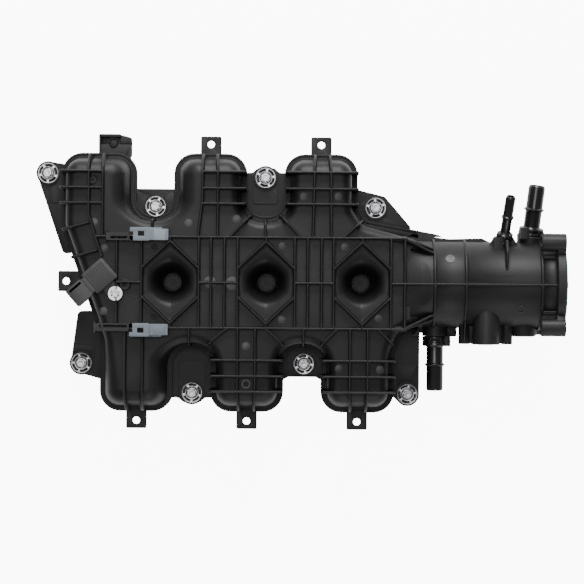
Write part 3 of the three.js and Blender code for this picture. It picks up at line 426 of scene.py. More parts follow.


# each material's third colour is its painted edge highlight
NYLON = material("glass_filled_nylon_black", grey(0.007), grey(0.013), grey(0.035), (0.4, 0.56),
                 specular=0.36)
SMOOTH = material("smooth_nylon_black", grey(0.006), grey(0.011), grey(0.03), (0.16, 0.28),
                  bump=0.05, specular=0.6)
# painted sheen: the marks' lighter colour stands in for their gloss catching the light
MARKS_SHEEN = material("nylon_marks_painted_sheen", grey(0.035), grey(0.05), grey(0.07), (0.32, 0.44),
                  bump=0.05)
CHARCOAL = material("sensor_charcoal", grey(0.035), grey(0.055), grey(0.09), (0.4, 0.6))
GREY = material("clip_blue_grey", (0.15, 0.18, 0.21), (0.21, 0.25, 0.29), (0.33, 0.37, 0.41),
                (0.42, 0.6))
ZINC = material("bright_zinc", grey(0.42), grey(0.52), grey(0.66), (0.24, 0.32), metallic=1.0,
                bump=0.03, grain=1400.0, flow=40.0, dust=0.0, highlight_amount=0.3)
BRASS = material("insert_brass", (0.5, 0.35, 0.12), (0.7, 0.5, 0.2), (0.8, 0.62, 0.3),
                 (0.25, 0.45), metallic=1.0, dust=0.0)
# real rubber for the seals and O-ring; also painted shade on flat patches under the retainers' slots
# and in the post holes
RUBBER_AND_SHADE = material("seal_rubber", grey(0.012), grey(0.02), grey(0.03), (0.6, 0.8))
GREEN = material("gasket_green", (0.01, 0.16, 0.09), (0.02, 0.28, 0.16), (0.06, 0.36, 0.24),
                 (0.45, 0.65))


# ---- meshes ----------------------------------------------------------------------
def finished(obj):
    """Bakes an object's modifiers into its mesh and marks the creases by angle."""
    graph = bpy.context.evaluated_depsgraph_get()
    mesh = bpy.data.meshes.new_from_object(obj.evaluated_get(graph))
    obj.modifiers.clear()
    obj.data = mesh
    mesh.shade_smooth()
    mesh.set_sharp_from_angle(angle=math.radians(38))
    return obj


def piece(name, parts, surface, nodes=(), body=BODY, bevel=0.0, wall=0.0):
    """One finished piece from its parts: merged, turned outwards, walled, bevelled, placed."""
    points, cells, start = [], [], 0
    for part_points, part_cells in parts:
        points.append(np.array(part_points))
        cells += [[start + k for k in cell] for cell in part_cells]
        start += len(part_points)
    mesh = bpy.data.meshes.new(name)
    mesh.from_pydata((np.concatenate(points) * MM).tolist(), [], cells)
    work = bmesh.new()
    work.from_mesh(mesh)
    bmesh.ops.remove_doubles(work, verts=work.verts, dist=2e-6)
    bmesh.ops.recalc_face_normals(work, faces=work.faces)
    work.to_mesh(mesh)
    work.free()
    obj = bpy.data.objects.new(name, mesh)
    bpy.context.scene.collection.objects.link(obj)
    mesh.materials.append(surface)
    if wall:
        solid = obj.modifiers.new("wall", "SOLIDIFY")
        solid.thickness = wall * MM
        solid.offset = -1
    if bevel:
        edge = obj.modifiers.new("edge", "BEVEL")
        edge.width = bevel * MM
        edge.segments = 2
        edge.limit_method = "ANGLE"
        edge.angle_limit = math.radians(50)
        edge.use_clamp_overlap = True
    finished(obj)
    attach(obj, body)
    if nodes:
        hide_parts(*nodes)
    return obj


# ---- outlines --------------------------------------------------------------------
def flange_corners(end):
    """Weld flange round all six lobes, anticlockwise from the first front lobe."""
    corners = []
    front, rear = LOBES[FRONT], LOBES[REAR][::-1]
    for k, x in enumerate(front):
        corners += [[x - HALF, -LOBE_END, LOBE_CORNER], [x + HALF, -LOBE_END, LOBE_CORNER]]
        if k < 2:
            corners += [[x + HALF, -VALLEY, 16], [x + PITCH - HALF, -VALLEY, 16]]
    corners += [[front[2] + HALF, -MAIN_RIB_Y - 26, 16],
                [front[2] + HALF + 8, -MAIN_RIB_Y - 5, 12],
                [end, -MAIN_RIB_Y - 3, 16], [end, MAIN_RIB_Y + 3, 16],
                [rear[0] + HALF + 8, MAIN_RIB_Y + 18, 10],
                [rear[0] + HALF, MAIN_RIB_Y + 30, 10]]
    for k, x in enumerate(rear):
        left = x - HALF if k < 2 else LEFT
        corners += [[x + HALF, LOBE_END, LOBE_CORNER], [left, LOBE_END, LOBE_CORNER]]
        if k < 2:
            corners += [[left, VALLEY, 16], [x - PITCH + HALF, VALLEY, 16]]
    corners += [[LEFT, 53, 20], [LEFT + 12.4, 19, 20],
                [front[0] - HALF - 6, -MAIN_RIB_Y + 8, 14],
                [front[0] - HALF, -MAIN_RIB_Y - 12, 14]]
    return corners


def pit_corners(x, margin=0.0):
    """Elongated hexagon round a pit, grown by margin."""
    half, side, apex = PIT_HALF + margin, 12.8 + margin * 0.45, 37.2 + margin * 1.35
    return np.array([[x - half, -side], [x, -apex], [x + half, -side],
                     [x + half, side], [x, apex], [x - half, side]])


def smooth_step(value, low, high):
    """Smooth rise from 0 at low to 1 at high."""
    t = np.clip((value - low) / (high - low), 0, 1)
    return t * t * (3 - 2 * t)


# ---- upper shell -----------------------------------------------------------------
HUMP_FOOT = FLANGE_TOP - 0.6
DRAFT = 1.3
END_SLOPE = 8.5        # how far a lobe's end leans in at the roof
SIDE_SLOPE = 9         # the same for the round-sided lobes


def hump_profile():
    """Inset and height from the foot to the roof: drafted side, then a quarter ellipse."""
    side = np.array([[0.0, SEAM_HIGH + 0.3], [0.0, HUMP_FOOT]])
    mid = np.linspace(0.1, 1, 7)[:, None] * [[DRAFT, ROOF - ROOF_ROUND - HUMP_FOOT]]
    angle = np.linspace(0, math.pi / 2, 9)[1:]
    arc = np.column_stack([
        DRAFT + ROOF_ROUND * (1 - np.cos(angle)),
        ROOF - ROOF_ROUND + ROOF_ROUND * np.sin(angle),
    ])
    return np.concatenate([side, mid + [[0, HUMP_FOOT]], arc])


def end_pull(height):
    """How much further the hump's outer end leans in at a height: an ellipse quadrant."""
    share = np.clip((height - HUMP_FOOT) / (ROOF - HUMP_FOOT), 0, 1)
    return END_SLOPE * (1 - np.sqrt(1 - share ** 2 * 0.97))


def side_pull(outline, height):
    """How far the round-sided humps lean in sideways: an ellipse quadrant towards the crown."""
    share = np.clip((height - HUMP_FOOT) / (ROOF - HUMP_FOOT), 0, 1)
    lean = SIDE_SLOPE * (1 - np.sqrt(1 - share ** 2 * 0.985))
    x, y = outline.T
    total = np.zeros(len(x))
    sides = ((REAR, LOBES[REAR][0], 1), (REAR, LOBES[REAR][1], -1),
             (FRONT, LOBES[FRONT][0], 1), (FRONT, LOBES[FRONT][0], -1))
    for bank, centre, side in sides:
        out = side * (x - centre)
        near = (bank * y > 0) & (out < HALF + 5)
        total += near * side * smooth_step(out, 2, 20) * smooth_step(np.abs(y), 50, 76)
    return total * lean


def hump_rings(end):
    """Rings of the humps: the flange outline inset by the profile, ends leaning in."""
    rings = []
    corners = flange_corners(end)
    for inset, height in hump_profile():
        outline = rounded(corners, WELD + inset)
        far = np.abs(outline[:, 1])
        pull = end_pull(height) * smooth_step(far, LOBE_END - 30, LOBE_END - 10)
        y = outline[:, 1] - np.sign(outline[:, 1]) * pull
        x = outline[:, 0] - side_pull(outline, height)
        rings.append(np.column_stack([x, y, np.full(len(y), height)]))
    return np.array(rings)


def pit_rim(x, steps=96):
    """Hexagonal rim as a radius at each angle: the nearest of the six edges along the ray."""
    corner = pit_corners(0)
    edge = np.roll(corner, -1, 0) - corner
    normal = np.stack([edge[:, 1], -edge[:, 0]], 1)
    normal /= np.linalg.norm(normal, axis=1, keepdims=True)
    reach = (normal * corner).sum(1)
    angle = np.linspace(0, math.tau, steps, endpoint=False)
    ray = np.stack([np.cos(angle), np.sin(angle)], 1)
    facing = np.maximum(ray @ normal.T, 1e-6)
    radius = (reach / facing).min(1)
    return radius[:, None] * ray + [x, 0]


def pit_funnel(x):
    """Trumpet from the hexagonal rim to the round well, and the rim itself.

    The plan turns nearly round within the first 0.6 of the way in, and the drop grows as a
    power of the share, so the throat is steep.
    """
    rim = pit_rim(x)
    ray = rim - [x, 0]
    reach = np.linalg.norm(ray, axis=1)
    ray /= reach[:, None]
    share = np.array([0, 0.015, 0.06, 0.13, 0.22, 0.33, 0.45, 0.56, 0.66, 0.75, 0.83, 0.9,
                      0.96, 1.0])
    drop = 1.2 * np.minimum(share / 0.03, 1) + (ROOF - 59.2) * share ** 3.8
    turn = smooth_step(share, 0.0, 0.6)[:, None] * 0.75
    start = reach[None] * (1 - turn) + reach.min() * 1.04 * turn
    radius = start + (WELL_RADIUS - start) * share[:, None]
    plan = ray[None] * radius[..., None] + [x, 0]
    height = np.repeat((ROOF - drop)[:, None, None], len(rim), 1)
    rings = np.concatenate([plan, height], -1)
    well = np.column_stack([plan[-1], np.full(len(rim), WELL_FLOOR)])
    return skin(np.concatenate([rings, well[None]]), (False, True)), rim


def make_upper_shell():
    """Humps and plenum roof in one walled skin, open below and towards the neck."""
    rings = hump_rings(NECK_JOIN + 6)
    points, cells = skin(rings, (False, False))
    middles = points[np.array(cells)].mean(1)
    mouth = (middles[:, 0] > NECK_JOIN - 12) & (np.abs(middles[:, 1]) < 20)
    cells = [cell for cell, gap in zip(cells, mouth) if not gap]
    funnels = [pit_funnel(x) for x in PITS]
    top = rings[-1][:, :2]
    flat, triangles = flat_cells([top], [rim for _, rim in funnels])
    roof = (np.column_stack([flat, np.full(len(flat), ROOF)]), triangles)
    piece("upper_shell_skin", [(points, cells), roof] + [part for part, _ in funnels], NYLON,
          ["upper_shell"], wall=2.4)


def make_weld_flange():
    """Flange round the humps, with a low bead on its outer edge and gaps at the bolts."""
    corners = flange_corners(NECK_JOIN + 30)
    bites = [circle(x, y, 10.6) for x, y in BOLTS]
    past = rounded(box_corners(NECK_JOIN + 60, 0, 120, 300, 1))
    outer = rounded(corners)
    inner = rounded(corners, WELD + 2)
    band = plate([outer], [inner, past] + bites, SEAM_HIGH + 0.3, FLANGE_TOP - 0.9)
    bead = plate([rounded(corners, 0.5)], [rounded(corners, 2.1), past] + bites,
                 FLANGE_TOP - 1.2, FLANGE_TOP)
    step = plate([rounded(corners, 3.6)], [inner, past] + bites,
                 FLANGE_TOP - 1.2, FLANGE_TOP - 0.3)
    piece("upper_weld_flange", [band, bead, step], NYLON, bevel=0.35)


# ---- ribs ------------------------------------------------------------------------
def end_line(bank, x, start=MAIN_RIB_Y):
    """Points and outward directions over a lobe's outer end, from the roof to the foot."""
    profile = hump_profile()[1:][::-1]
    reach = LOBE_END - WELD - profile[:, 0] - end_pull(profile[:, 1])
    height = profile[:, 1]
    flat = np.linspace(start, reach[0], 18)[:-1]
    y = np.concatenate([flat, reach])
    z = np.concatenate([np.full(len(flat), ROOF), height])
    slope = np.gradient(np.column_stack([y, z]), axis=0)
    slope /= np.linalg.norm(slope, axis=1, keepdims=True)
    base = np.column_stack([np.full(len(y), x), bank * y, z])
    up = np.column_stack([np.zeros(len(y)), -bank * slope[:, 1], slope[:, 0]])
    return base, up


def lobe_rib(bank, x, bends=None, start=MAIN_RIB_Y):
    """Rib along a lobe that follows its end down to the flange and dies out there.

    bends gives x shifts at distances from the middle, for a rib that isn't straight.
    """
    base, up = end_line(bank, x, start)
    if bends:
        away, shift = np.array(bends, float).T
        base[:, 0] += np.interp(np.abs(base[:, 1]), away, shift)
    share = np.linspace(0, 1, len(base))
    height = 8.0 - 3.6 * smooth_step(share, 0.7, 1.0)
    return rib(base, height, RIB, up)


def cross_rib(x0, y0, x1, y1, ends=(True, True)):
    """Rib across a lobe: a wall from the flange to the rib top, with its ends rounded off."""
    share = np.concatenate([np.linspace(0, 0.12, 8)[:-1], np.linspace(0.12, 0.88, 12),
                            np.linspace(0.88, 1, 8)[1:]])
    x, y = x0 + (x1 - x0) * share, y0 + (y1 - y0) * share
    length = math.hypot(x1 - x0, y1 - y0)
    near = np.minimum(np.where(ends[0], share, 1), np.where(ends[1], 1 - share, 1)) * length
    fall = np.clip(3.0 - near, 0, 3)
    top = RIB_TOP - (3.0 - np.sqrt(np.maximum(9.0 - fall ** 2, 0)))
    base = np.column_stack([x, y, np.full(len(x), FLANGE_TOP)])
    return rib(base, top - FLANGE_TOP, RIB)


def make_lobe_ribs():
    """The ribs on the six humps."""
    rear, front = LOBES[REAR], LOBES[FRONT]
    parts = [
        lobe_rib(REAR, rear[0] - 7.2, [(24, 12.7), (35, 9), (64, 0), (130, 0)], 24),
        lobe_rib(REAR, rear[0] + 5.8),
        lobe_rib(REAR, rear[1] - 6.2, [(43, -4), (78, 0), (130, 0.5)]),
        lobe_rib(REAR, rear[1] + 8.3, [(43, 0), (104, 0), (122, -1.5)]),
        lobe_rib(REAR, rear[2] - 6.7, [(43, -1.2), (104, 0), (122, 1.2)]),
        lobe_rib(REAR, rear[2] + 8.8, [(43, 0.6), (104, 0), (122, -1.6)]),
    ]
    for x in front:
        parts.append(lobe_rib(FRONT, x - 8.3, [(43, 0), (100, 0), (122, 1.4)]))
        parts.append(lobe_rib(FRONT, x + 8.3, [(43, 0), (100, 0), (122, -1.4)]))
    for y in (104.3, 88.8, 74.3):
        parts.append(cross_rib(LEFT + 1 - 0.04 * (y - 104), y, rear[0] + 5.8, y, (True, False)))
        for x, shift in ((rear[1], -6.2), (rear[2], -HALF + 1)):
            parts.append(cross_rib(x + shift, y, x + HALF, y, (shift < -20, True)))
    for y in (-102.5, -88, -73):
        parts += [cross_rib(x - HALF, y, x + HALF, y) for x in front[1:]]
    parts.append(cross_rib(LEFT + 4.5, 48.6, rear[0] - 7, 55.8, (True, False)))
    parts.append(cross_rib(LEFT + 13.2, 22.6, rear[0] + 1.2, 29.6, (True, False)))
    start, end = (rear[0] - 0.5, MAIN_RIB_Y), (rear[0] + 7, MAIN_RIB_Y)
    parts.append(straight_rib(start, end, ROOF, RIB_TOP))
    piece("lobe_ribs", parts, NYLON)


def make_plenum_ribs():
    """The lattice over the plenum, with a wall round each pit."""
    left, right = LOBES[REAR][0] + 7, NECK_JOIN - 13
    lines = [((left, side * MAIN_RIB_Y), (right, side * MAIN_RIB_Y)) for side in (REAR, FRONT)]
    half = PIT_HALF + RIB / 2
    for x in (-140.3, -51.5, -38.9, 39.6, 52.7, 131.1):
        lines.append(((x, -MAIN_RIB_Y), (x, MAIN_RIB_Y)))
    for x in PITS:
        for side in (-1, 1):
            lines.append(((x + side * half, -MAIN_RIB_Y), (x + side * half, MAIN_RIB_Y)))
            lines.append(((x, side * 38), (x, side * MAIN_RIB_Y)))
        wall = pit_corners(x, RIB / 2)
        lines += [(wall[k], wall[k + 1]) for k in (0, 1, 3, 4)]
    starts = [-140] + [x + half for x in PITS]
    ends = [x - half for x in PITS] + [131]
    lines += [((x0, 0), (x1, 0)) for x0, x1 in zip(starts, ends)]
    piece("plenum_ribs", [straight_rib(*line, ROOF, RIB_TOP) for line in lines], NYLON)


def make_valley_ribs():
    """Diagonal and upright braces between the plenum's long ribs and the valleys."""
    lines = [
        (-14, 64, -34, 43), (13, 64, 33, 43), (92, 60, 73, 43), (-57, -60, -36, -43),
        (20, -61, 0, -43), (50, -61, 68, -43), (121, -58, 106, -43), (-0.5, 60, -0.5, 43),
        (-72, -60, -72, -43), (36, -60, 36, -43), (-107, 60, -107, 53),
    ]
    foot = ROOF - 22
    share = np.linspace(0, 1, 17)
    top = RIB_TOP - 14 * (1 - smooth_step(share, 0.0, 0.3))
    parts = []
    for x0, y0, x1, y1 in lines:
        x, y = x0 + (x1 - x0) * share, y0 + (y1 - y0) * share
        parts.append(rib(np.column_stack([x, y, np.full(17, foot)]), top - foot))
    piece("valley_braces", parts, NYLON)


def make_moulding_marks():
    """Ejector and gate marks: flat discs a little proud of the roof, glossier than the roof, and
    lighter in colour as a painted sheen.
    """
    parts = []
    places = [(-162.3, 56.1), (-152.6, 31.6), (-73.1, 55.9), (-27.9, 60), (15.7, 34.9),
              (35.6, 81.7), (68.1, 82), (74.6, 34.4), (-152.6, -27.8), (-18, -60), (15.3, -34.9),
              (69.9, -80.7), (108.6, -81.3), (106.8, -32.8)]
    for x, y in places:
        disc = spindle([(0.01, -0.5), (3.9, -0.5), (3.9, 0.1), (3.7, 0.16), (0.01, 0.2)], 40)
        parts.append(moved(disc, (x, y, ROOF)))
    lean = math.atan2(24.3, 33)
    disc = spindle([(0.01, -1.5), (4.4, -1.5), (4.4, 0.1), (0.01, 0.25)], 40)
    outwards = (0, math.sin(lean), math.cos(lean))
    at = (174.2, NECK_OUTER * outwards[1], NECK_Z + NECK_OUTER * outwards[2])
    parts.append(moved(disc, at, outwards))
    ring = bush([(2.6, -0.4), (2.9, 0.4), (4.3, 0.4), (4.5, -0.4)], 32)
    parts.append(moved(ring, (-17.7, -95.5, ROOF)))
    # gate blush marks, lighter in colour as a painted sheen
    for x, y, radius in ((-52.6, 0.4, 5.6), (-31.2, -0.8, 6.4), (137.2, 0, 4.6)):
        blush_sheen = spindle([(0.01, -0.5), (radius, -0.5), (radius, 0.02), (radius * 0.8, 0.12),
                         (0.01, 0.2)], 40)
        parts.append(moved(blush_sheen, (x, y, ROOF)))
    piece("moulding_marks_sheen", parts, MARKS_SHEEN)


# ---- runner shell, rails, pan -----------------------------------------------------
def bolt_plates(bank):
    """Outlines of the plates and lugs that carry one bank's bolts."""
    places, lobes = BANK_BOLTS[bank], LOBES[bank]
    outlines = [circle(x, y, LUG_RADIUS) for x, y in places]
    root = VALLEY - 6
    for k in (1, 2):
        reach = abs(places[k][1]) + 6
        centre = lobes[0] + (k - 0.5) * PITCH
        half = PITCH / 2 - HALF + 4
        across = np.linspace(-half, half, 25)
        if abs(places[k][1]) < 90:
            dip = (across / half) ** 2 * 8 + 4
        else:
            dip = 3.5 - smooth_step(np.abs(across), 7, 14) * 4.5
        edge = np.column_stack([centre + across, bank * (reach + dip)])
        foot = np.array([[centre + half, bank * root], [centre - half, bank * root]])
        outlines.append(np.concatenate([edge, foot]))
    (x0, y0), (x3, y3) = places[0], places[3]
    inner, outer = lobes[0] - HALF + 6, lobes[2] + HALF - 6
    if bank == REAR:
        outlines.append(rounded([[x0 - 11.5, y0, 3], [LEFT + 1, 27, 4], [LEFT + 10, 27, 4],
                                 [inner, y0 + 8, 3], [x0, y0 + 11.5, 3]]))
        outlines.append(rounded([[outer, root, 3], [x3 + 38, root - 8, 3], [x3 + 9, y3 + 11, 6],
                                 [outer, y3 + 19, 3]]))
    else:
        outlines.append(rounded([[x0 - 10.5, y0, 3], [x0, y0 - 10.5, 3], [inner, y0 - 17, 3],
                                 [inner, -28, 3], [x0 - 4, -28, 5]]))
        outlines.append(rounded([[outer, y3, 3], [x3, y3 - 10.5, 3], [x3 + 11.5, y3, 3],
                                 [x3 + 11.5, -44, 1], [outer, -44, 4]]))
    return outlines


def port_outline(x, y, grow=0.0):
    """Outline of a port, grown by a distance."""
    return rounded(box_corners(x, y, 48, 34, 12), -grow)


def pan_corners():
    """Plenum pan, narrower towards the left end."""
    end = NECK_JOIN - 0.3
    return [[LOBES[FRONT][0] - HALF + 4, -MAIN_RIB_Y, 8], [end, -MAIN_RIB_Y, 8],
            [end, MAIN_RIB_Y, 8], [LEFT + 16, MAIN_RIB_Y, 8]]


def tab_outlines():
    """The side tabs and the end tab, each with its hole: (outline, hole)."""
    tabs = []
    for bank, x in [(REAR, x) for x in LOBES[REAR][1:]] + [(FRONT, x) for x in LOBES[FRONT]]:
        corners = box_corners(x, bank * (LOBE_END + 5.7), TAB_WIDTH, TAB_REACH, 1.2)
        tabs.append((rounded(corners), circle(x, bank * (LOBE_END + 9.1), 3.5, 32)))
    x = LEFT + 13.2
    corners = box_corners(x - 5.7, 0.4, TAB_REACH, TAB_WIDTH, 1.2)
    tabs.append((rounded(corners), circle(x - 9.1, 0.4, 3.5, 32)))
    return tabs


def make_runner_shell():
    """Middle moulding: plate with bolt lugs and tabs, port collars and the plenum's frame."""
    past = rounded(box_corners(NECK_JOIN + 60, 0, 120.6, 91, 1))
    bores = [circle(x, y, BOLT_BORE, 32) for x, y in BOLTS]
    ports = [port_outline(x, y) for x, y in PORTS]
    pan = rounded(pan_corners(), 4)
    flange = rounded(flange_corners(NECK_JOIN + 30))
    lugs = bolt_plates(REAR) + bolt_plates(FRONT)
    deck = plate([flange] + lugs, [past, pan] + bores + ports, SEAM_HIGH - 7, SEAM_HIGH)
    tabs = tab_outlines()
    ears = plate([outline for outline, _ in tabs], [hole for _, hole in tabs] + [pan],
                 SEAM_HIGH - 3, SEAM_HIGH - 0.05)
    low, high = SEAM_HIGH - 10.7, SEAM_HIGH - 6.5
    collars = plate([port_outline(x, y, 3) for x, y in PORTS], ports, low, high)
    frame_band = plate([rounded(pan_corners())], [pan], low, high)
    posts = plate([circle(x, y, COLUMN_RADIUS) for x, y in BOLTS], bores, low, high)
    piece("runner_shell_body", [deck, ears, collars, frame_band, posts], NYLON,
          ["runner_shell"], bevel=0.4)


def make_valley_floors():
    """Rims round the retainers, stepped frames on the tall pillars, steps on the end lugs."""
    parts = []
    for k, width, near in ((2, 25, 76), (5, 27, 74)):
        x, y = BOLTS[k]
        bank = np.sign(y)
        far = abs(y) + 5
        corners = box_corners(x, bank * (near + far) / 2, width, far - near, 4)
        parts.append(plate([rounded(corners)], [rounded(corners, 1.3), circle(x, y, 10.0)],
                           SEAM_HIGH - 0.5, SEAM_HIGH + 1.0))
    for k, line, shift, width in ((0, 75, 6, 10), (4, -61, 2, 21), (7, -76, 0, 21)):
        x, y = BOLTS[k]
        parts.append(bar(x + shift, (line + y) / 2, width, abs(y - line), 1.5, SEAM_HIGH - 0.5,
                         SEAM_HIGH + 0.5, [circle(x, y, 10.0)]))
    seats = plate([circle(x, y, LUG_RADIUS) for x, y in BOLTS],
                  [circle(x, y, 10.1) for x, y in BOLTS], SEAM_HIGH - 0.5, SEAM_HIGH + 2.0)
    piece("bolt_seat_rims", parts + [seats], NYLON, bevel=0.3)


def make_bracket():
    """Harness bracket off the first rear lobe: an open channel with a knob on its front wall."""
    low, high = 44, SEAM_HIGH - 6
    x0, x1 = -162, -130.5
    near, top = 121, LOBE_END + 18.6
    knob_x = x0 + 14
    floor = plate([rounded([[x0, near, 1], [x1, near, 1], [x1, top - 3, 3], [x0 + 20, top, 1.5],
                            [x0, top, 1.5]])], [], low, low + 3)
    back = bar(x0 + 10.5, top - 1.4, 21, 2.8, 1.2, low, high + 4)
    side = bar(x0 + 0.9, (near + top) / 2, 1.8, top - 122, 0.6, low, high + 4)
    right = bar((x0 + 20.5 + x1) / 2, (133.5 + top - 3) / 2, 10.5, 6.2, 1.5, low, high)
    front = bar((x0 + x1) / 2, 127.3, x1 - x0, 10.5, 1, low, high + 1)
    knob = moved(spindle([(0.01, -4), (4, -4), (4, 1.6), (3.2, 2.6), (0.01, 3)], 32),
                 (knob_x, 133.2, high))
    cradle = moved(bush([(4.6, -5), (6.4, -5), (6.4, -0.4), (4.6, -0.4)], 32),
                   (knob_x, 133, high))
    web = bar(-133, 122, 3, 14, 1, low, SEAM_HIGH - 0.2)
    piece("harness_bracket", [floor, back, side, right, front, knob, cradle, web], NYLON, bevel=0.4)


def make_port_rail(bank):
    """Port rail: flange, three legs with raised collars, bolt posts and webs between them."""
    name = BANK_NAME[bank]
    lobes, places = LOBES[bank], BANK_BOLTS[bank]
    ports = [(x, y) for x, y in PORTS if y * bank > 0]
    inner, port_y = MAIN_RIB_Y + 14, abs(ports[0][1])
    strip = rounded(box_corners((lobes[0] + lobes[2]) / 2, bank * (inner + port_y) / 2,
                                2 * PITCH + 62, port_y - inner, 6))
    past = rounded(box_corners(0, bank * (MAIN_RIB_Y + 8 - 60), 600, 120, 1))
    bores = [circle(x, y, BOLT_BORE, 32) for x, y in places]
    holes = [port_outline(x, y) for x, y in ports]
    grooves = [port_outline(x, y, 4.45) for x, y in ports]
    lands = [port_outline(x, y, 1.55) for x, y in ports]
    pads = [port_outline(x, y, 6) for x, y in ports]
    outline = bolt_plates(bank) + pads + [strip]
    upper = plate(outline, [past] + bores + holes, 1.95, 10)
    foot = plate(outline, [past] + bores + grooves, 0, 1.95)
    inner_lands = plate(lands, holes, 0, 2.2)
    legs = plate([port_outline(x, y, 3) for x, y in ports], holes, 9.5, 46)
    collars = plate([port_outline(x, y, 5.2) for x, y in ports], holes, 42, 46)
    posts = plate([circle(x, y, COLUMN_RADIUS) for x, y in places], bores, 9.5, 46)
    ribs = []
    side = bank * (port_y + 20)
    for x, _ in ports:
        for shift in (-14, 0, 14):
            ribs.append(straight_rib((x + shift, side - bank * 2), (x + shift, side), 10, 42, 2.2))
    webs = []
    for (x, y), near in zip(places, (lobes[0], lobes[1], lobes[2], lobes[2])):
        way = np.sign(near - x)
        webs.append(bar(x + way * 12, y * 0.97, 16, 3, 0.6, 9.5, 30))
    piece(f"port_rail_{name}_body", [upper, foot, inner_lands, legs, collars, posts] + ribs + webs,
          NYLON, [f"port_rail_{name}"], bevel=0.45)


def make_pan():
    """Plenum pan: drafted tub with a rim, tie posts, feet, and a rib lattice underneath."""
    corners = pan_corners()
    inside = [(6.5, 13.2), (4.4, 14), (4.0, 46)]
    outside = [(0, 46), (0, 42), (1.2, 42), (2.0, 14), (3.4, 11.2), (6.0, 10)]
    points, cells = skin(np.array([
        np.column_stack([rounded(corners, inset), np.full(BOX_POINTS, z)])
        for inset, z in inside + outside
    ]))
    middles = np.array([points[cell].mean(0) for cell in cells])
    mouth = (middles[:, 0] > NECK_JOIN - 8) & (np.abs(middles[:, 1]) < 32) & (middles[:, 2] > 14.5)
    cells = [cell for cell, gap in zip(cells, mouth) if not gap or len(cell) > 4]
    posts = [moved(skin(turned([(4.4, 46), (8, 46), (8.6, 13)], 40), (False, False)), (x, 0, 0))
             for x in PITS]
    feet = [moved(spindle([(0.01, 0), (10, 0), (11, 0.8), (11, 13), (0.01, 13)], 48), (x, 0, 0))
            for x in PITS]
    lattice = [bar(x, 0, RIB, 74, 0.8, 4.5, 11) for x in np.arange(-135, 140, 30)]
    lattice += [bar(-6, y, 284, RIB, 0.8, 4.5, 11) for y in (-24, 24)]
    piece("plenum_pan_body", [(points, cells)] + posts + feet + lattice, NYLON,
          ["plenum_pan"], bevel=0.3)


# ---- throttle neck ---------------------------------------------------------------
def neck_round(radius, x):
    """Ring about the neck's axis."""
    angle = np.linspace(0, math.tau, NECK_STEPS, endpoint=False)
    return np.column_stack([np.full(NECK_STEPS, x), radius * np.cos(angle),
                            NECK_Z + radius * np.sin(angle)])


def make_neck_tube():
    """Neck: turned tube with ring ribs, a thick flange, and the gasket's groove."""
    face = NECK_END
    flange = face - 8.2
    crest = NECK_OUTER + 2.4
    outer = [(NECK_OUTER, NECK_JOIN)]
    for x in (159.7, 189.3, 261.0):
        outer += [(NECK_OUTER, x - 2.2), (NECK_OUTER + 0.5, x - 1.3), (crest - 0.3, x - 1.1),
                  (crest, x - 0.6), (crest, x + 0.6), (crest - 0.3, x + 1.1),
                  (NECK_OUTER + 0.5, x + 1.3), (NECK_OUTER, x + 2.2)]
    outer += [(NECK_OUTER, flange - 3), (NECK_OUTER + 1, flange - 0.6), (46.2, flange),
              (47, flange + 0.8), (47, face - 0.8), (46.2, face)]
    inner = [(42.5, face), (42.5, face - 2.5), (39.3, face - 2.5), (39.3, face),
             (37.8, face), (NECK_BORE, face - 0.8), (NECK_BORE, NECK_JOIN)]
    profile = outer + inner + outer[:1]
    rings = np.array([neck_round(radius, x) for radius, x in profile])
    return skin(rings, (False, False))


def make_neck_shoulder():
    """Taper from the plenum's box to the round neck: each section blends a superellipse
    with the circle, and is cut level with the weld flange below."""
    angle = np.linspace(0, math.tau, NECK_STEPS, endpoint=False)
    cos, sin = np.abs(np.cos(angle)), np.sin(angle)
    high = ROOF - NECK_Z
    box = ((cos / 43) ** 7 + (np.abs(sin) / high) ** 7) ** (-1 / 7)
    rings = []
    for x in np.linspace(118, 161, 24):
        share = smooth_step(x, 120, 160)
        radius = box * (1 - share) + (NECK_OUTER + 0.2) * share
        radius *= 0.985 + 0.015 * smooth_step(x, 118, 126)
        z = np.maximum(NECK_Z + radius * sin, SEAM_HIGH + 0.6)
        rings.append(np.column_stack([np.full(NECK_STEPS, x), radius * np.cos(angle), z]))
    for x in (161.0, 118.0):
        inside = neck_round(NECK_BORE - 1.5, x)
        inside[:, 2] = np.clip(inside[:, 2], SEAM_HIGH + 0.9, ROOF - 4)
        rings.append(inside)
    rings.append(rings[0])
    return skin(np.array(rings), (False, False))


def throttle_bolts():
    """Centres of the four throttle bolts: (y, z)."""
    return [tuple(middle(f"throttle_insert_{k}")[1:]) for k in range(1, 5)]


def make_neck():
    """The neck: tube, flange corners and bosses, and the shoulder as a piece of its own."""
    parts = [make_neck_tube()]
    face = NECK_END
    for y, z in throttle_bolts():
        boss = bush([(4.6, face), (8.0, face), (8.5, face - 0.6), (8.5, face - 22),
                     (7.9, face - 23.4), (4.6, face - 23.4)], 48)
        parts.append(moved(boss, (0, y, z), (1, 0, 0)))
        lean = math.atan2(z - NECK_Z, y)
        hole = circle(math.hypot(y, z - NECK_Z), 0, 4.6)
        points, cells = bar(46, 0, 13, 17, 1, -8.1, -0.1, [hole])
        c, s = math.cos(lean), math.sin(lean)
        turned_points = np.column_stack([
            face + points[:, 2],
            points[:, 0] * c - points[:, 1] * s,
            NECK_Z + points[:, 0] * s + points[:, 1] * c,
        ])
        parts.append((turned_points, cells))
    piece("throttle_neck_body", parts, NYLON, ["throttle_neck"], bevel=0.3)
    piece("neck_shoulder", [make_neck_shoulder()], NYLON)


def neck_top(x, y):
    """Height of the neck's upper surface: the box's roof blends into the round tube."""
    round_z = NECK_Z + np.sqrt(np.maximum(NECK_OUTER ** 2 - y ** 2, 0))
    share = smooth_step(x, 122, 160)
    return (ROOF - 0.6) * (1 - share) + round_z * share


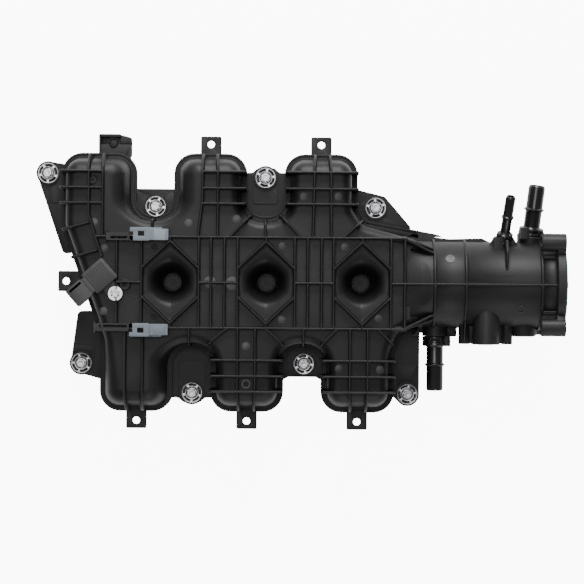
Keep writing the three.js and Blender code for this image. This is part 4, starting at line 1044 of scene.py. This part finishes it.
def make_neck_ribs():
    """Ribs on the neck: the long crest, the taper pairs, two short ones by the flange, the
    purge port's outline and a plain ring."""
    parts = []
    x = np.linspace(PITS[2] + 27, NECK_END - 8, 60)
    share = smooth_step(x, 120, 160)
    surface = ROOF * (1 - share) + (NECK_Z + NECK_OUTER) * share
    top = RIB_TOP * (1 - share) + (NECK_Z + NECK_OUTER + 2.3) * share
    parts.append(rib(np.column_stack([x, np.zeros(60), surface]), top - surface))
    for side in (REAR, FRONT):
        for y1 in (32.5, 28.5):
            share = np.linspace(0, 1, 20)
            x = 130 + 29.7 * share
            y = MAIN_RIB_Y + (y1 - MAIN_RIB_Y) * share
            z = neck_top(x, y)
            top = RIB_TOP + (NECK_Z + math.sqrt(NECK_OUTER ** 2 - y1 ** 2) + 2.6 - RIB_TOP) * share
            parts.append(rib(np.column_stack([x, side * y, z]), np.maximum(top - z, 1.2)))
        x = np.linspace(262, NECK_END - 8, 8)
        y = np.full(8, side * 25.5)
        parts.append(rib(np.column_stack([x, y, neck_height(y)]), 2.6))
    spread = np.array([[205, 33.5], [205, 22], [205, 14], [206, 10.2], [209, 8.6], [216, 8.4],
                       [228, 8.4], [235, 8.6], [238, 10.2], [239, 14], [239, 22], [239, 30]])
    parts.append(rib(np.column_stack([spread, neck_height(spread[:, 1])]), 0.3, 0.7, sink=0.8))
    lean = math.asin(-23 / NECK_OUTER)
    ring = bush([(3.0, -0.5), (3.2, 0.5), (4.0, 0.5), (4.2, -0.5)], 32)
    parts.append(moved(ring, (241, -23, NECK_Z + NECK_OUTER * math.cos(lean)),
                       (0, math.sin(lean), math.cos(lean))))
    piece("neck_ribs", parts, NYLON)


def make_neck_seam():
    """Seam flange along the neck's sides, from the plenum to the stub and the fittings."""
    rear = rounded([[NECK_JOIN - 10, 30, 1], [216, 30, 2], [216, 40, 3], [207, 44.5, 6],
                    [175, 43.6, 20], [159, 45.4, 12], [NECK_JOIN - 10, 49.6, 6]])
    front = rounded([[NECK_JOIN - 10, -46, 3], [152, -46, 3], [156, -42, 3], [186, -42, 3],
                     [186, -30, 1], [NECK_JOIN - 10, -30, 1]])
    bore = rounded(box_corners(180, 0, 120, 76, 1))
    cover = rounded([[NECK_JOIN - 2, 40, 1], [150, 40, 1], [150, 46.6, 1],
                     [NECK_JOIN - 2, 52, 1]])
    strip = plate([rear, front, cover], [bore], SEAM_HIGH + 0.4, FLANGE_TOP - 0.3)
    piece("neck_seam_flange", [strip], NYLON, bevel=0.5)


def make_stub():
    """Blank side stub: a block closed by a flat face, two columns, and a barrel whose crown
    rises out of the neck, with a gusset on one side and a round bulge on the other."""
    x, reach = 210, 57
    out = (0, -1, 0)
    crown = NECK_Z + 20
    barrel = spindle([(12.5, 6), (12.5, reach - 1.0), (11.5, reach), (0.01, reach)])
    parts = [moved(barrel, (x, 0, crown), out)]

    def block(centre, length, low, high, near, far, radius):
        middle_z = (low + high) / 2 - NECK_Z
        points, cells = bar(centre, middle_z, length, high - low, radius, near, far)
        return np.column_stack([points[:, 0], -points[:, 2], NECK_Z + points[:, 1]]), cells

    parts.append(block(x, 25, NECK_Z - 12, crown, 8, reach, 1))
    parts.append(block(x, 46, NECK_Z - 12, NECK_Z + 10, 20, reach - 0.8, 4))
    parts.append(block(x - 1, 13, NECK_Z - 4, NECK_Z + 21.5, 24, reach + 0.4, 2))
    for side in (-1, 1):
        column = spindle([(5.4, 22), (5.4, reach - 0.9), (4.8, reach - 0.1), (2.3, reach - 0.1),
                          (2.1, reach - 6), (0.01, reach - 6)], 32)
        parts.append(moved(column, (x + side * 20.4, 0, NECK_Z + 8), out))
    line = np.column_stack([np.full(12, 189.3), -np.linspace(30, 55, 12), np.full(12, NECK_Z + 8)])
    parts.append(rib(line, np.linspace(22, 6, 12)))
    bulge = [(0.01, 12), (13, 12), (13, 47), (12, 48.8), (9.5, 49.6), (0.01, 49.6)]
    parts.append(moved(spindle(bulge, 48), (247, 0, NECK_Z - 2), out))
    piece("side_stub", parts, NYLON, bevel=0.4)


# ---- fittings --------------------------------------------------------------------
# Each fitting: its place, its way, then tube, bore and collar radii, collar depth, length.
FITTINGS = {
    "crankcase_vent_fitting": ((162.5, -49.8, 60), (0, -1, 0), 7.91, 5.6, 11.8, 9.4, 52.2),
    "brake_booster_fitting": ((253.4, 48, 62), (0.107, 0.985, 0.17), 7.91, 5.6, 11.8, 7, 48),
    "purge_fitting": ((226.4, 43, 77), (0.1, 0.9, 0.42), 4.745, 3.0, 7.4, 7, 45),
}


def make_fitting(node):
    """Quick-connect tube: notched collar, tube, retaining bead and rounded lead-in."""
    at, way, tube, bore, collar, depth, length = FITTINGS[node]
    bead = length * 0.52
    body = bush([
        (bore, -6), (tube, -6), (tube, 0), (collar - 0.6, 0), (collar, 0.6),
        (collar, depth * 0.34), (collar - 1.1, depth * 0.4), (collar - 1.1, depth * 0.6),
        (collar, depth * 0.66), (collar, depth - 0.7), (collar - 0.7, depth),
        (tube + 0.9, depth), (tube, depth + 1), (tube, bead - 1.6), (tube + 0.5, bead - 1.3),
        (tube * 1.22, bead - 0.5), (tube * 1.22, bead + 0.5), (tube + 0.5, bead + 1.3),
        (tube, bead + 1.6), (tube, length - 2.6), (tube - 0.4, length - 0.9),
        (tube - 1.1, length), (bore + 0.3, length), (bore, length - 0.6),
    ], 72)
    parts = [moved(body, at, way)]
    key = bar(collar * 0.93, 0, 1.8, 2.6, 0.3, 0.8, depth - 0.8)
    parts += [moved(key, at, way, math.tau * k / 6) for k in range(6)]
    piece(f"{node}_body", parts, SMOOTH, [node], bevel=0.2)


def make_fitting_seats():
    """Bosses on the neck that hold the fittings, with gussets and the purge port's wings."""
    parts = []
    for at, way, tube, _, collar, _, _ in FITTINGS.values():
        seat = bush([(tube + 0.3, -18), (collar + 1.6, -18), (collar + 0.4, -6),
                     (collar + 0.4, -0.9), (collar - 0.2, -0.3), (tube + 0.3, -0.3)], 56)
        parts.append(moved(seat, at, way))
    for side in (-1, 1):
        wing = plate([rounded([[226 + side * 6, 30, 1], [226 + side * 19, 30, 1],
                               [226 + side * 6, 50, 1.5]][::side])], [], 74, 77)
        parts.append(wing)
    lug = plate([rounded([[168, -50, 1], [183, -50, 1], [183, -30, 1], [168, -36, 1]])], [],
                SEAM_HIGH - 2, SEAM_HIGH + 6)
    ear = bar(174, -54.5, 6, 9.5, 1, NECK_Z - 8, NECK_Z + 5)
    wedge = plate([rounded([[139, -50, 0.6], [147, -50, 0.6], [147, -42.5, 0.6]])], [],
                  FLANGE_TOP - 1, FLANGE_TOP + 9)
    rest = bar(254, 41, 25, 20, 3, 50, 68)
    latch = bar(246.4, 49, 8, 11, 1.2, 60, 75)
    block = bar(220.4, 37, 9, 16, 1.5, 72, 87)
    fin_y = np.linspace(14, 42, 14)
    fin_z = neck_height(np.minimum(fin_y, 40.9))
    fin_top = 98.5 - 9 * smooth_step(fin_y, 30, 44)
    fin = rib(np.column_stack([227 + 0.02 * fin_y, fin_y, fin_z]),
              np.maximum(fin_top + 6 * smooth_step(fin_y, 12, 22) - fin_z, 0.8), 2.6)
    extra = [lug, ear, wedge, rest, latch, block, fin]
    piece("fitting_seats", parts + extra, NYLON, bevel=0.4)


# ---- metal pieces ----------------------------------------------------------------
def hexagon(radius, steps=96):
    """Radii of a hexagon with slightly rounded corners, over a full turn."""
    angle = np.linspace(0, math.tau, steps, endpoint=False)
    fold = (angle + math.pi / 6) % (math.pi / 3) - math.pi / 6
    return angle, np.minimum(radius / np.cos(fold), radius * 1.135)


def hex_head(radius, limit, rows, seat):
    """Hexagon head over seat: each (share, height) row keeps within a round chamfer that
    shrinks by its share, and the first rows keep the whole hexagon."""
    angle, size = hexagon(radius)
    return skin(np.array([
        level_ring(angle, size if share > 0.99 else np.minimum(size, limit * share), seat + height)
        for share, height in rows
    ]))


def make_bolt(k):
    """Flange bolt: ridged thread, shank, washer flange, hexagon head with a dimple."""
    x, y = BOLTS[k - 1]
    low, high = span(f"bolt_{k}")
    seat = high[2] - 6
    tip = low[2]
    point = [(0.01, tip), (2.4, tip), (SHANK, tip + 1.2)]
    threads = [(2.98 - 0.32 * (j % 2), tip + 1.6 + 0.5 * j) for j in range(36)]
    washer = [(6.1, 0), (6.5, 0.5), (6.45, 1.2), (6.3, 1.5), (5.8, 1.5), (5.5, 1.3), (4.5, 0.2),
              (0.01, 0.2)]
    stem = spindle(point + threads + [(SHANK, tip + 21), (SHANK, seat)]
                   + [(radius, seat + height) for radius, height in washer], 40)
    head = hex_head(3.8, 4.62, [(1.0, 0.2), (1.0, 4.3), (0.96, 4.7), (0.78, 5.8), (0.74, 6.0),
                                (0.5, 6.0), (0.42, 5.5), (0.02, 5.4)], seat)
    parts = [moved(part, (x, y, 0), spin=0.4 + 0.7 * k) for part in (stem, head)]
    piece(f"bolt_{k}_body", parts, ZINC, [f"bolt_{k}"], f"captive_bolt_{k}")


def make_retainer(k):
    """Retainer ring: washer with five arc slots between a raised lip and a rim."""
    x, y = BOLTS[k - 1]
    z = span(f"bolt_retainer_{k}")[0][2]
    slots = []
    for j in range(5):
        angle = np.linspace(-0.5, 0.5, 12) + math.tau * (j + 0.2 * k) / 5
        outside = np.column_stack([np.cos(angle), np.sin(angle)]) * 8.75
        inside = outside[::-1] / 8.75 * 6.55
        slots.append(np.concatenate([outside, inside]) + [x, y])
    disc = plate([circle(x, y, 9.8, 72)], [circle(x, y, 3.6, 40)] + slots, z + 0.9, z + 2.4)
    lip = moved(bush([(3.6, 0), (6.3, 0), (6.3, 2.9), (3.6, 2.9)], 56), (x, y, z))
    rim = moved(bush([(8.8, 0), (9.8, 0), (9.8, 2.7), (9.5, 3.0), (9.1, 3.0), (8.8, 2.6)], 72),
                (x, y, z))
    base = moved(bush([(3.6, 0), (9.7, 0), (9.7, 0.3), (3.6, 0.3)], 48), (x, y, z))
    piece(f"retainer_{k}_ring", [disc, lip, rim, base], ZINC, [f"bolt_retainer_{k}"], bevel=0.15)


def make_retainer_shades():
    """Painted shade: flat black rings under the retainers' slots, so the slots show dark."""
    parts = []
    for k, (x, y) in enumerate(BOLTS, 1):
        z = span(f"bolt_retainer_{k}")[0][2]
        # flat black ring painted under the slots as their shade
        face = bush([(6.4, 0.35), (8.5, 0.35), (8.5, 0.85), (6.4, 0.85)], 48)
        parts.append(moved(face, (x, y, z)))
    piece("retainer_slot_shade", parts, RUBBER_AND_SHADE)


def make_tie_post(k):
    """Tie post: broad flat head with two fine rings, over a plain shank."""
    x = PITS[k - 1]
    low, high = span(f"tie_post_{k}")
    top, bottom = high[2], low[2]
    head = [(0.01, bottom), (4, bottom), (4, WELL_FLOOR + 0.3), (9.2, WELL_FLOOR + 0.3),
            (9.2, top - 0.7), (8.9, top - 0.2), (8.3, top), (7.1, top), (6.95, top - 0.3),
            (6.7, top - 0.3), (6.55, top), (2.2, top), (2.0, top - 0.25), (0.01, top - 0.25)]
    piece(f"tie_post_{k}_body", [moved(spindle(head, 72), (x, 0, 0))], NYLON,
          [f"tie_post_{k}"])


def make_insert(k):
    """Threaded insert: knurled sleeve, its radius waving round the outside."""
    low, _ = span(f"throttle_insert_{k}")
    _, y, z = middle(f"throttle_insert_{k}")
    angle = np.linspace(0, math.tau, 120, endpoint=False)
    rings = []
    profile = [(2.5, 0.6, 0), (3.0, 0, 0), (4.1, 0, 0), (4.1, 0.4, 1), (4.1, 5.6, 1), (3.5, 6, 0),
               (3.5, 8, 0), (4.1, 8.4, 1), (4.1, 13.6, 1), (3.9, 14, 0), (3.0, 14, 0),
               (2.5, 13.4, 0), (2.5, 0.6, 0)]
    for radius, along, knurl in profile:
        size = radius - 0.22 * knurl * (0.5 - 0.5 * np.cos(24 * angle))
        rings.append(level_ring(angle, size, along))
    part = moved(skin(np.array(rings), (False, False)), (low[0], y, z), (1, 0, 0))
    piece(f"throttle_insert_{k}_body", [part], BRASS, [f"throttle_insert_{k}"])


def make_gasket():
    """Throttle gasket: double-lipped ring in its groove, with a locating tab."""
    low, high = span("throttle_gasket")
    ring = bush([(39.7, low[0]), (42.1, low[0]), (42.1, high[0] - 0.9), (41.7, high[0]),
                 (41.2, high[0]), (40.9, high[0] - 0.6), (40.6, high[0]), (40.1, high[0]),
                 (39.7, high[0] - 0.9)], 128)
    parts = [moved(ring, (0, 0, NECK_Z), (1, 0, 0))]
    points, cells = bar(0, 0, 4, 6, 1.2, NECK_END + 0.15, high[0] - 0.2)
    tab = np.column_stack([points[:, 2], points[:, 1], NECK_Z + 43.8 + points[:, 0]])
    parts.append((tab, cells))
    piece("throttle_gasket_body", parts, GREEN, ["throttle_gasket"])


def make_port_seal(k):
    """Port seal: a round-edged ring that follows the port."""
    x, y = PORTS[k - 1]
    low, high = span(f"port_seal_{k}")
    rows = [(2.2, low[2]), (1.95, 0.7), (2.2, high[2]), (3.8, high[2]), (4.05, 0.7), (3.8, low[2])]
    rings = [np.column_stack([port_outline(x, y, grow), np.full(BOX_POINTS, z)])
             for grow, z in rows]
    rings.append(rings[0])
    piece(f"port_seal_{k}_ring", [skin(np.array(rings), (False, False))], RUBBER_AND_SHADE,
          [f"port_seal_{k}"])


# ---- sensor and clips ------------------------------------------------------------
SENSOR_AT = middle("map_sensor_o_ring")[:2]
SENSOR_TURN = math.radians(41.5)


def sensor_frame(part):
    """A part drawn along and across the sensor, turned and set on the roof."""
    points, cells = part
    c, s = math.cos(SENSOR_TURN), math.sin(SENSOR_TURN)
    x = SENSOR_AT[0] + points[:, 0] * c - points[:, 1] * s
    y = SENSOR_AT[1] + points[:, 0] * s + points[:, 1] * c
    return np.column_stack([x, y, points[:, 2] + ROOF + 0.3]), cells


def make_sensor():
    """Pressure sensor: ridged body, plug shroud with pins, screw ear and nipple."""
    body = bar(0, 0, 25.5, 23.5, 2, 0, 12.6)
    lid = bar(0, 0, 24.3, 22.3, 1.6, 12.3, 13.4)
    ridges = [bar(shift, 0, 0.9, 19, 0.3, 13.2, 14) for shift in np.linspace(-9.5, 9.5, 9)]
    plug = (-24.6, 0, 18.3, 19, 1.5)
    shroud = bar(*plug, 6, 14, [rounded(box_corners(-27.7, 0, 14, 15, 0.8))])
    floor = bar(*plug, 4, 6.2)
    roof = bar(*plug, 13.8, 16)
    rail = bar(-24, 6.5, 14, 2.2, 0.6, 14.5, 16)
    latch = bar(-29, -1, 5, 7, 0.8, 14.5, 15.9)
    neck = bar(-14, 0, 5, 16.5, 1, 4.2, 13.6)
    pins = [bar(-24, shift, 8, 0.9, 0.2, 9.4, 10.3) for shift in (-4.5, -1.5, 1.5, 4.5)]
    x, y, _ = middle("map_sensor_screw")
    ear_ring = bush([(2.6, 0), (7, 0), (7, 5.3), (6.4, 6), (2.6, 6)], 48)
    ear = moved(ear_ring, (x, y, ROOF + 0.3))
    arm = bar(0, -13, 13, 11, 1, 0, 5.6)
    nipple = moved(spindle([(4.4, 1), (4.4, -3.4), (2.9, -3.4), (2.9, -5.8), (4.4, -5.8),
                            (4.0, -8), (0.01, -8)], 40), (*SENSOR_AT, ROOF + 0.3))
    local = [body, lid, shroud, floor, roof, rail, latch, neck, arm] + ridges + pins
    piece("map_sensor_body", [sensor_frame(part) for part in local] + [ear, nipple], CHARCOAL,
          ["map_sensor"], bevel=0.3)


def make_sensor_boss():
    """Second screw boss of the sensor, unused, beside the screw, and the washer's pad."""
    x, y, _ = middle("map_sensor_screw")
    boss = bush([(2.4, 0), (2.4, 4.6), (4.6, 4.6), (5.2, 4.0), (5.4, -0.4), (2.4, -0.4)], 40)
    under = bush([(2.0, -0.4), (7.4, -0.4), (7.4, -0.05), (2.0, -0.05)], 40)
    piece("sensor_spare_boss", [moved(boss, (x + 8.6, y + 8.4, ROOF)),
                                moved(under, (x, y, ROOF + 0.4))], NYLON)


def make_sensor_screw():
    """Sensor screw: flat washer and a hexagon head with a dimple."""
    low, high = span("map_sensor_screw")
    x, y, _ = (low + high) / 2
    seat = high[2] - 4.6
    washer = spindle([(0.01, low[2]), (2, low[2]), (2, seat), (6.9, seat), (7, seat + 0.3),
                      (7, seat + 0.9), (6.7, seat + 1.2), (0.01, seat + 1.2)], 56)
    head = hex_head(3.9, 4.5, [(1.0, 0.8), (1.0, 4.0), (0.95, 4.4), (0.84, 4.6), (0.6, 4.6),
                               (0.5, 4.1), (0.02, 4.0)], seat)
    piece("map_sensor_screw_body", [moved(part, (x, y, 0)) for part in (washer, head)], ZINC,
          ["map_sensor_screw"])


def make_o_ring():
    """Sensor O-ring: a small torus."""
    x, y, z = middle("map_sensor_o_ring")
    angle = np.linspace(0, math.tau, 13)
    profile = [(3.8 + 0.68 * math.cos(a), 0.68 * math.sin(a)) for a in angle[:-1]]
    piece("map_sensor_o_ring_body", [moved(bush(profile, 48), (x, y, z))], RUBBER_AND_SHADE,
          ["map_sensor_o_ring"])


def make_clip(side):
    """Retaining clip: hooked end with a notch, window, step, and a thinner tongue."""
    name = BANK_NAME[side]
    low, high = span(f"clip_{name}")
    top = high[2]
    y0, y1 = sorted((abs(low[1]), abs(high[1])))
    centre = (y0 + y1) / 2
    x0, x1 = low[0], high[0]

    def part(xa, xb, ya, yb, za, zb, radius=0.8, holes=()):
        return bar((xa + xb) / 2, side * (ya + yb) / 2, xb - xa, yb - ya, radius, za, zb, holes)

    window = rounded(box_corners(x0 + 10.5, side * (centre + 0.4), 6, 4.6, 0.6))
    mouth = rounded(box_corners(x0 + 0.6, side * (centre + 0.4), 5, 3.6, 0.5))
    parts = [
        part(x0, x0 + 18.5, y0, y1, top - 3.4, top, 1.2, (window, mouth)),
        part(x0, x0 + 3.0, y0, centre - 1.6, top - 3.4, top, 0.6),
        part(x0 + 18, x1, y0 + 0.6, y1 - 1.4, top - 4.2, top - 1.2, 0.8),
        part(x0 + 19.5, x0 + 22.5, y0 + 0.8, y1 - 1.6, top - 1.6, top - 0.1, 0.5),
        part(x1 - 2.4, x1, y0 + 0.8, y1 - 1.6, top - 1.6, top - 0.3, 0.5),
        part(x0 + 8, x1 - 6, y1 - 2.6, y1, top - 9, top - 2, 0.6),
    ]
    piece(f"clip_{name}_body", parts, GREY, [f"clip_{name}"], bevel=0.35)


def make_clip_rails():
    """Moulded channels that lead into the clips, and flat black discs painted where the post holes'
    shade falls.
    """
    parts = []
    dark = []
    for side, x0 in ((REAR, -150), (FRONT, -160)):
        slot = box_corners((x0 - 126) / 2, side * (MAIN_RIB_Y - 0.8), -134 - x0, 2.4, 0.8)
        parts.append(bar((x0 - 128) / 2, side * MAIN_RIB_Y, -128 - x0, 7.4, 1, ROOF - 0.4,
                         RIB_TOP + 1.3, [rounded(slot)]))
        end = (x0, side * (MAIN_RIB_Y - 5)), (x0, side * (MAIN_RIB_Y + 5))
        parts.append(straight_rib(*end, ROOF, RIB_TOP + 0.5, 1.8))
        hole = (-105.3, side * 33, ROOF)
        parts.append(moved(bush([(3.4, -0.4), (3.4, 0.5), (4.2, 0.5), (4.4, -0.4)], 40), hole))
        # painted shade: a flat black disc where the hole's shade falls
        dark.append(moved(spindle([(0.01, -0.3), (3.4, -0.3), (3.4, 0.15), (0.01, 0.15)], 40),
                          hole))
    # painted shade: a flat black patch in the pocket on the first rear lobe
    dark.append(bar(-162.8, 96, 9.6, 10, 1, ROOF - 0.2, ROOF + 0.15))
    ring = bush([(1.7, 0), (1.7, 1.9), (3.2, 1.9), (3.4, 0)], 36)
    parts.append(moved(ring, (-163.6, 95.7, ROOF)))
    piece("clip_rails", parts, NYLON)
    piece("painted_hole_shade", dark, RUBBER_AND_SHADE)


# ---- studio ----------------------------------------------------------------------
def make_floor():
    """Plain pale floor under the manifold."""
    mesh = bpy.data.meshes.new("floor")
    size = 60.0        # metres, wide enough to hide its edge from low views
    low = -0.0003      # just under the port faces, so that the two don't share a plane
    mesh.from_pydata([(-size, -size, low), (size, -size, low), (size, size, low),
                      (-size, size, low)], [], [(0, 1, 2, 3)])
    floor = bpy.data.objects.new("floor", mesh)
    bpy.context.scene.collection.objects.link(floor)
    paper = bpy.data.materials.new("pale_paper")
    paper.use_nodes = True
    shader = paper.node_tree.nodes["Principled BSDF"]
    shader.inputs["Base Color"].default_value = (0.93, 0.93, 0.93, 1)
    shader.inputs["Roughness"].default_value = 0.9
    shader.inputs["Emission Color"].default_value = (1, 1, 1, 1)
    seen = paper.node_tree.nodes.new("ShaderNodeLightPath").outputs["Is Camera Ray"]
    seen_glow, lit_glow = 9.0, 0.5     # the camera sees a bright floor, the plastic a dim one
    glow = maths(paper.node_tree, "ADD", maths(paper.node_tree, "MULTIPLY", seen, seen_glow),
                 lit_glow)
    wire(paper.node_tree, glow, shader.inputs["Emission Strength"])
    mesh.materials.append(paper)


def make_light(name, place, target, size, power):
    """Square area light that faces a target."""
    light = bpy.data.lights.new(name, "AREA")
    light.size = size
    light.energy = power
    obj = bpy.data.objects.new(name, light)
    obj.location = place
    obj.rotation_euler = (Vector(target) - Vector(place)).to_track_quat("-Z", "Y").to_euler()
    bpy.context.scene.collection.objects.link(obj)


def make_studio():
    """Soft light from the rear bank's side and above, a weak fill, and an even pale world."""
    aim = (0.03, 0, 0.05)
    make_light("key", (0.1, 1.6, 1.1), aim, 0.9, 42)
    make_light("top", (-0.2, 0.35, 2.5), aim, 1.0, 14)
    make_light("fill", (0.3, -1.6, 0.9), aim, 0.9, 7)
    world = bpy.data.worlds.new("studio")
    world.use_nodes = True
    world.node_tree.nodes["Background"].inputs["Color"].default_value = (1, 1, 1, 1)
    world.node_tree.nodes["Background"].inputs["Strength"].default_value = 0.22
    bpy.context.scene.world = world


def make_camera():
    """Camera straight above, a little turned, at the distance that gives the perspective."""
    camera = bpy.data.cameras.new("camera")
    camera.sensor_width = 36
    camera.lens = 131.4
    obj = bpy.data.objects.new("camera", camera)
    obj.location = (0.0250, -0.00845, 2.107)
    obj.rotation_euler = (0, 0, math.radians(0.45))
    bpy.context.scene.collection.objects.link(obj)
    bpy.context.scene.camera = obj


# ---- assembly --------------------------------------------------------------------
make_camera()
make_upper_shell()
make_weld_flange()
make_plenum_ribs()
make_lobe_ribs()
make_valley_ribs()
make_moulding_marks()
make_runner_shell()
make_valley_floors()
make_bracket()
make_port_rail(REAR)
make_port_rail(FRONT)
make_pan()
make_neck()
make_neck_ribs()
make_neck_seam()
make_stub()
for fitting in FITTINGS:
    make_fitting(fitting)
make_fitting_seats()
for number in range(1, 9):
    make_bolt(number)
    make_retainer(number)
make_retainer_shades()
for number in range(1, 4):
    make_tie_post(number)
for number in range(1, 5):
    make_insert(number)
make_gasket()
for number in range(1, 7):
    make_port_seal(number)
make_sensor()
make_sensor_boss()
make_sensor_screw()
make_o_ring()
make_clip(REAR)
make_clip(FRONT)
make_clip_rails()
make_floor()
make_studio()
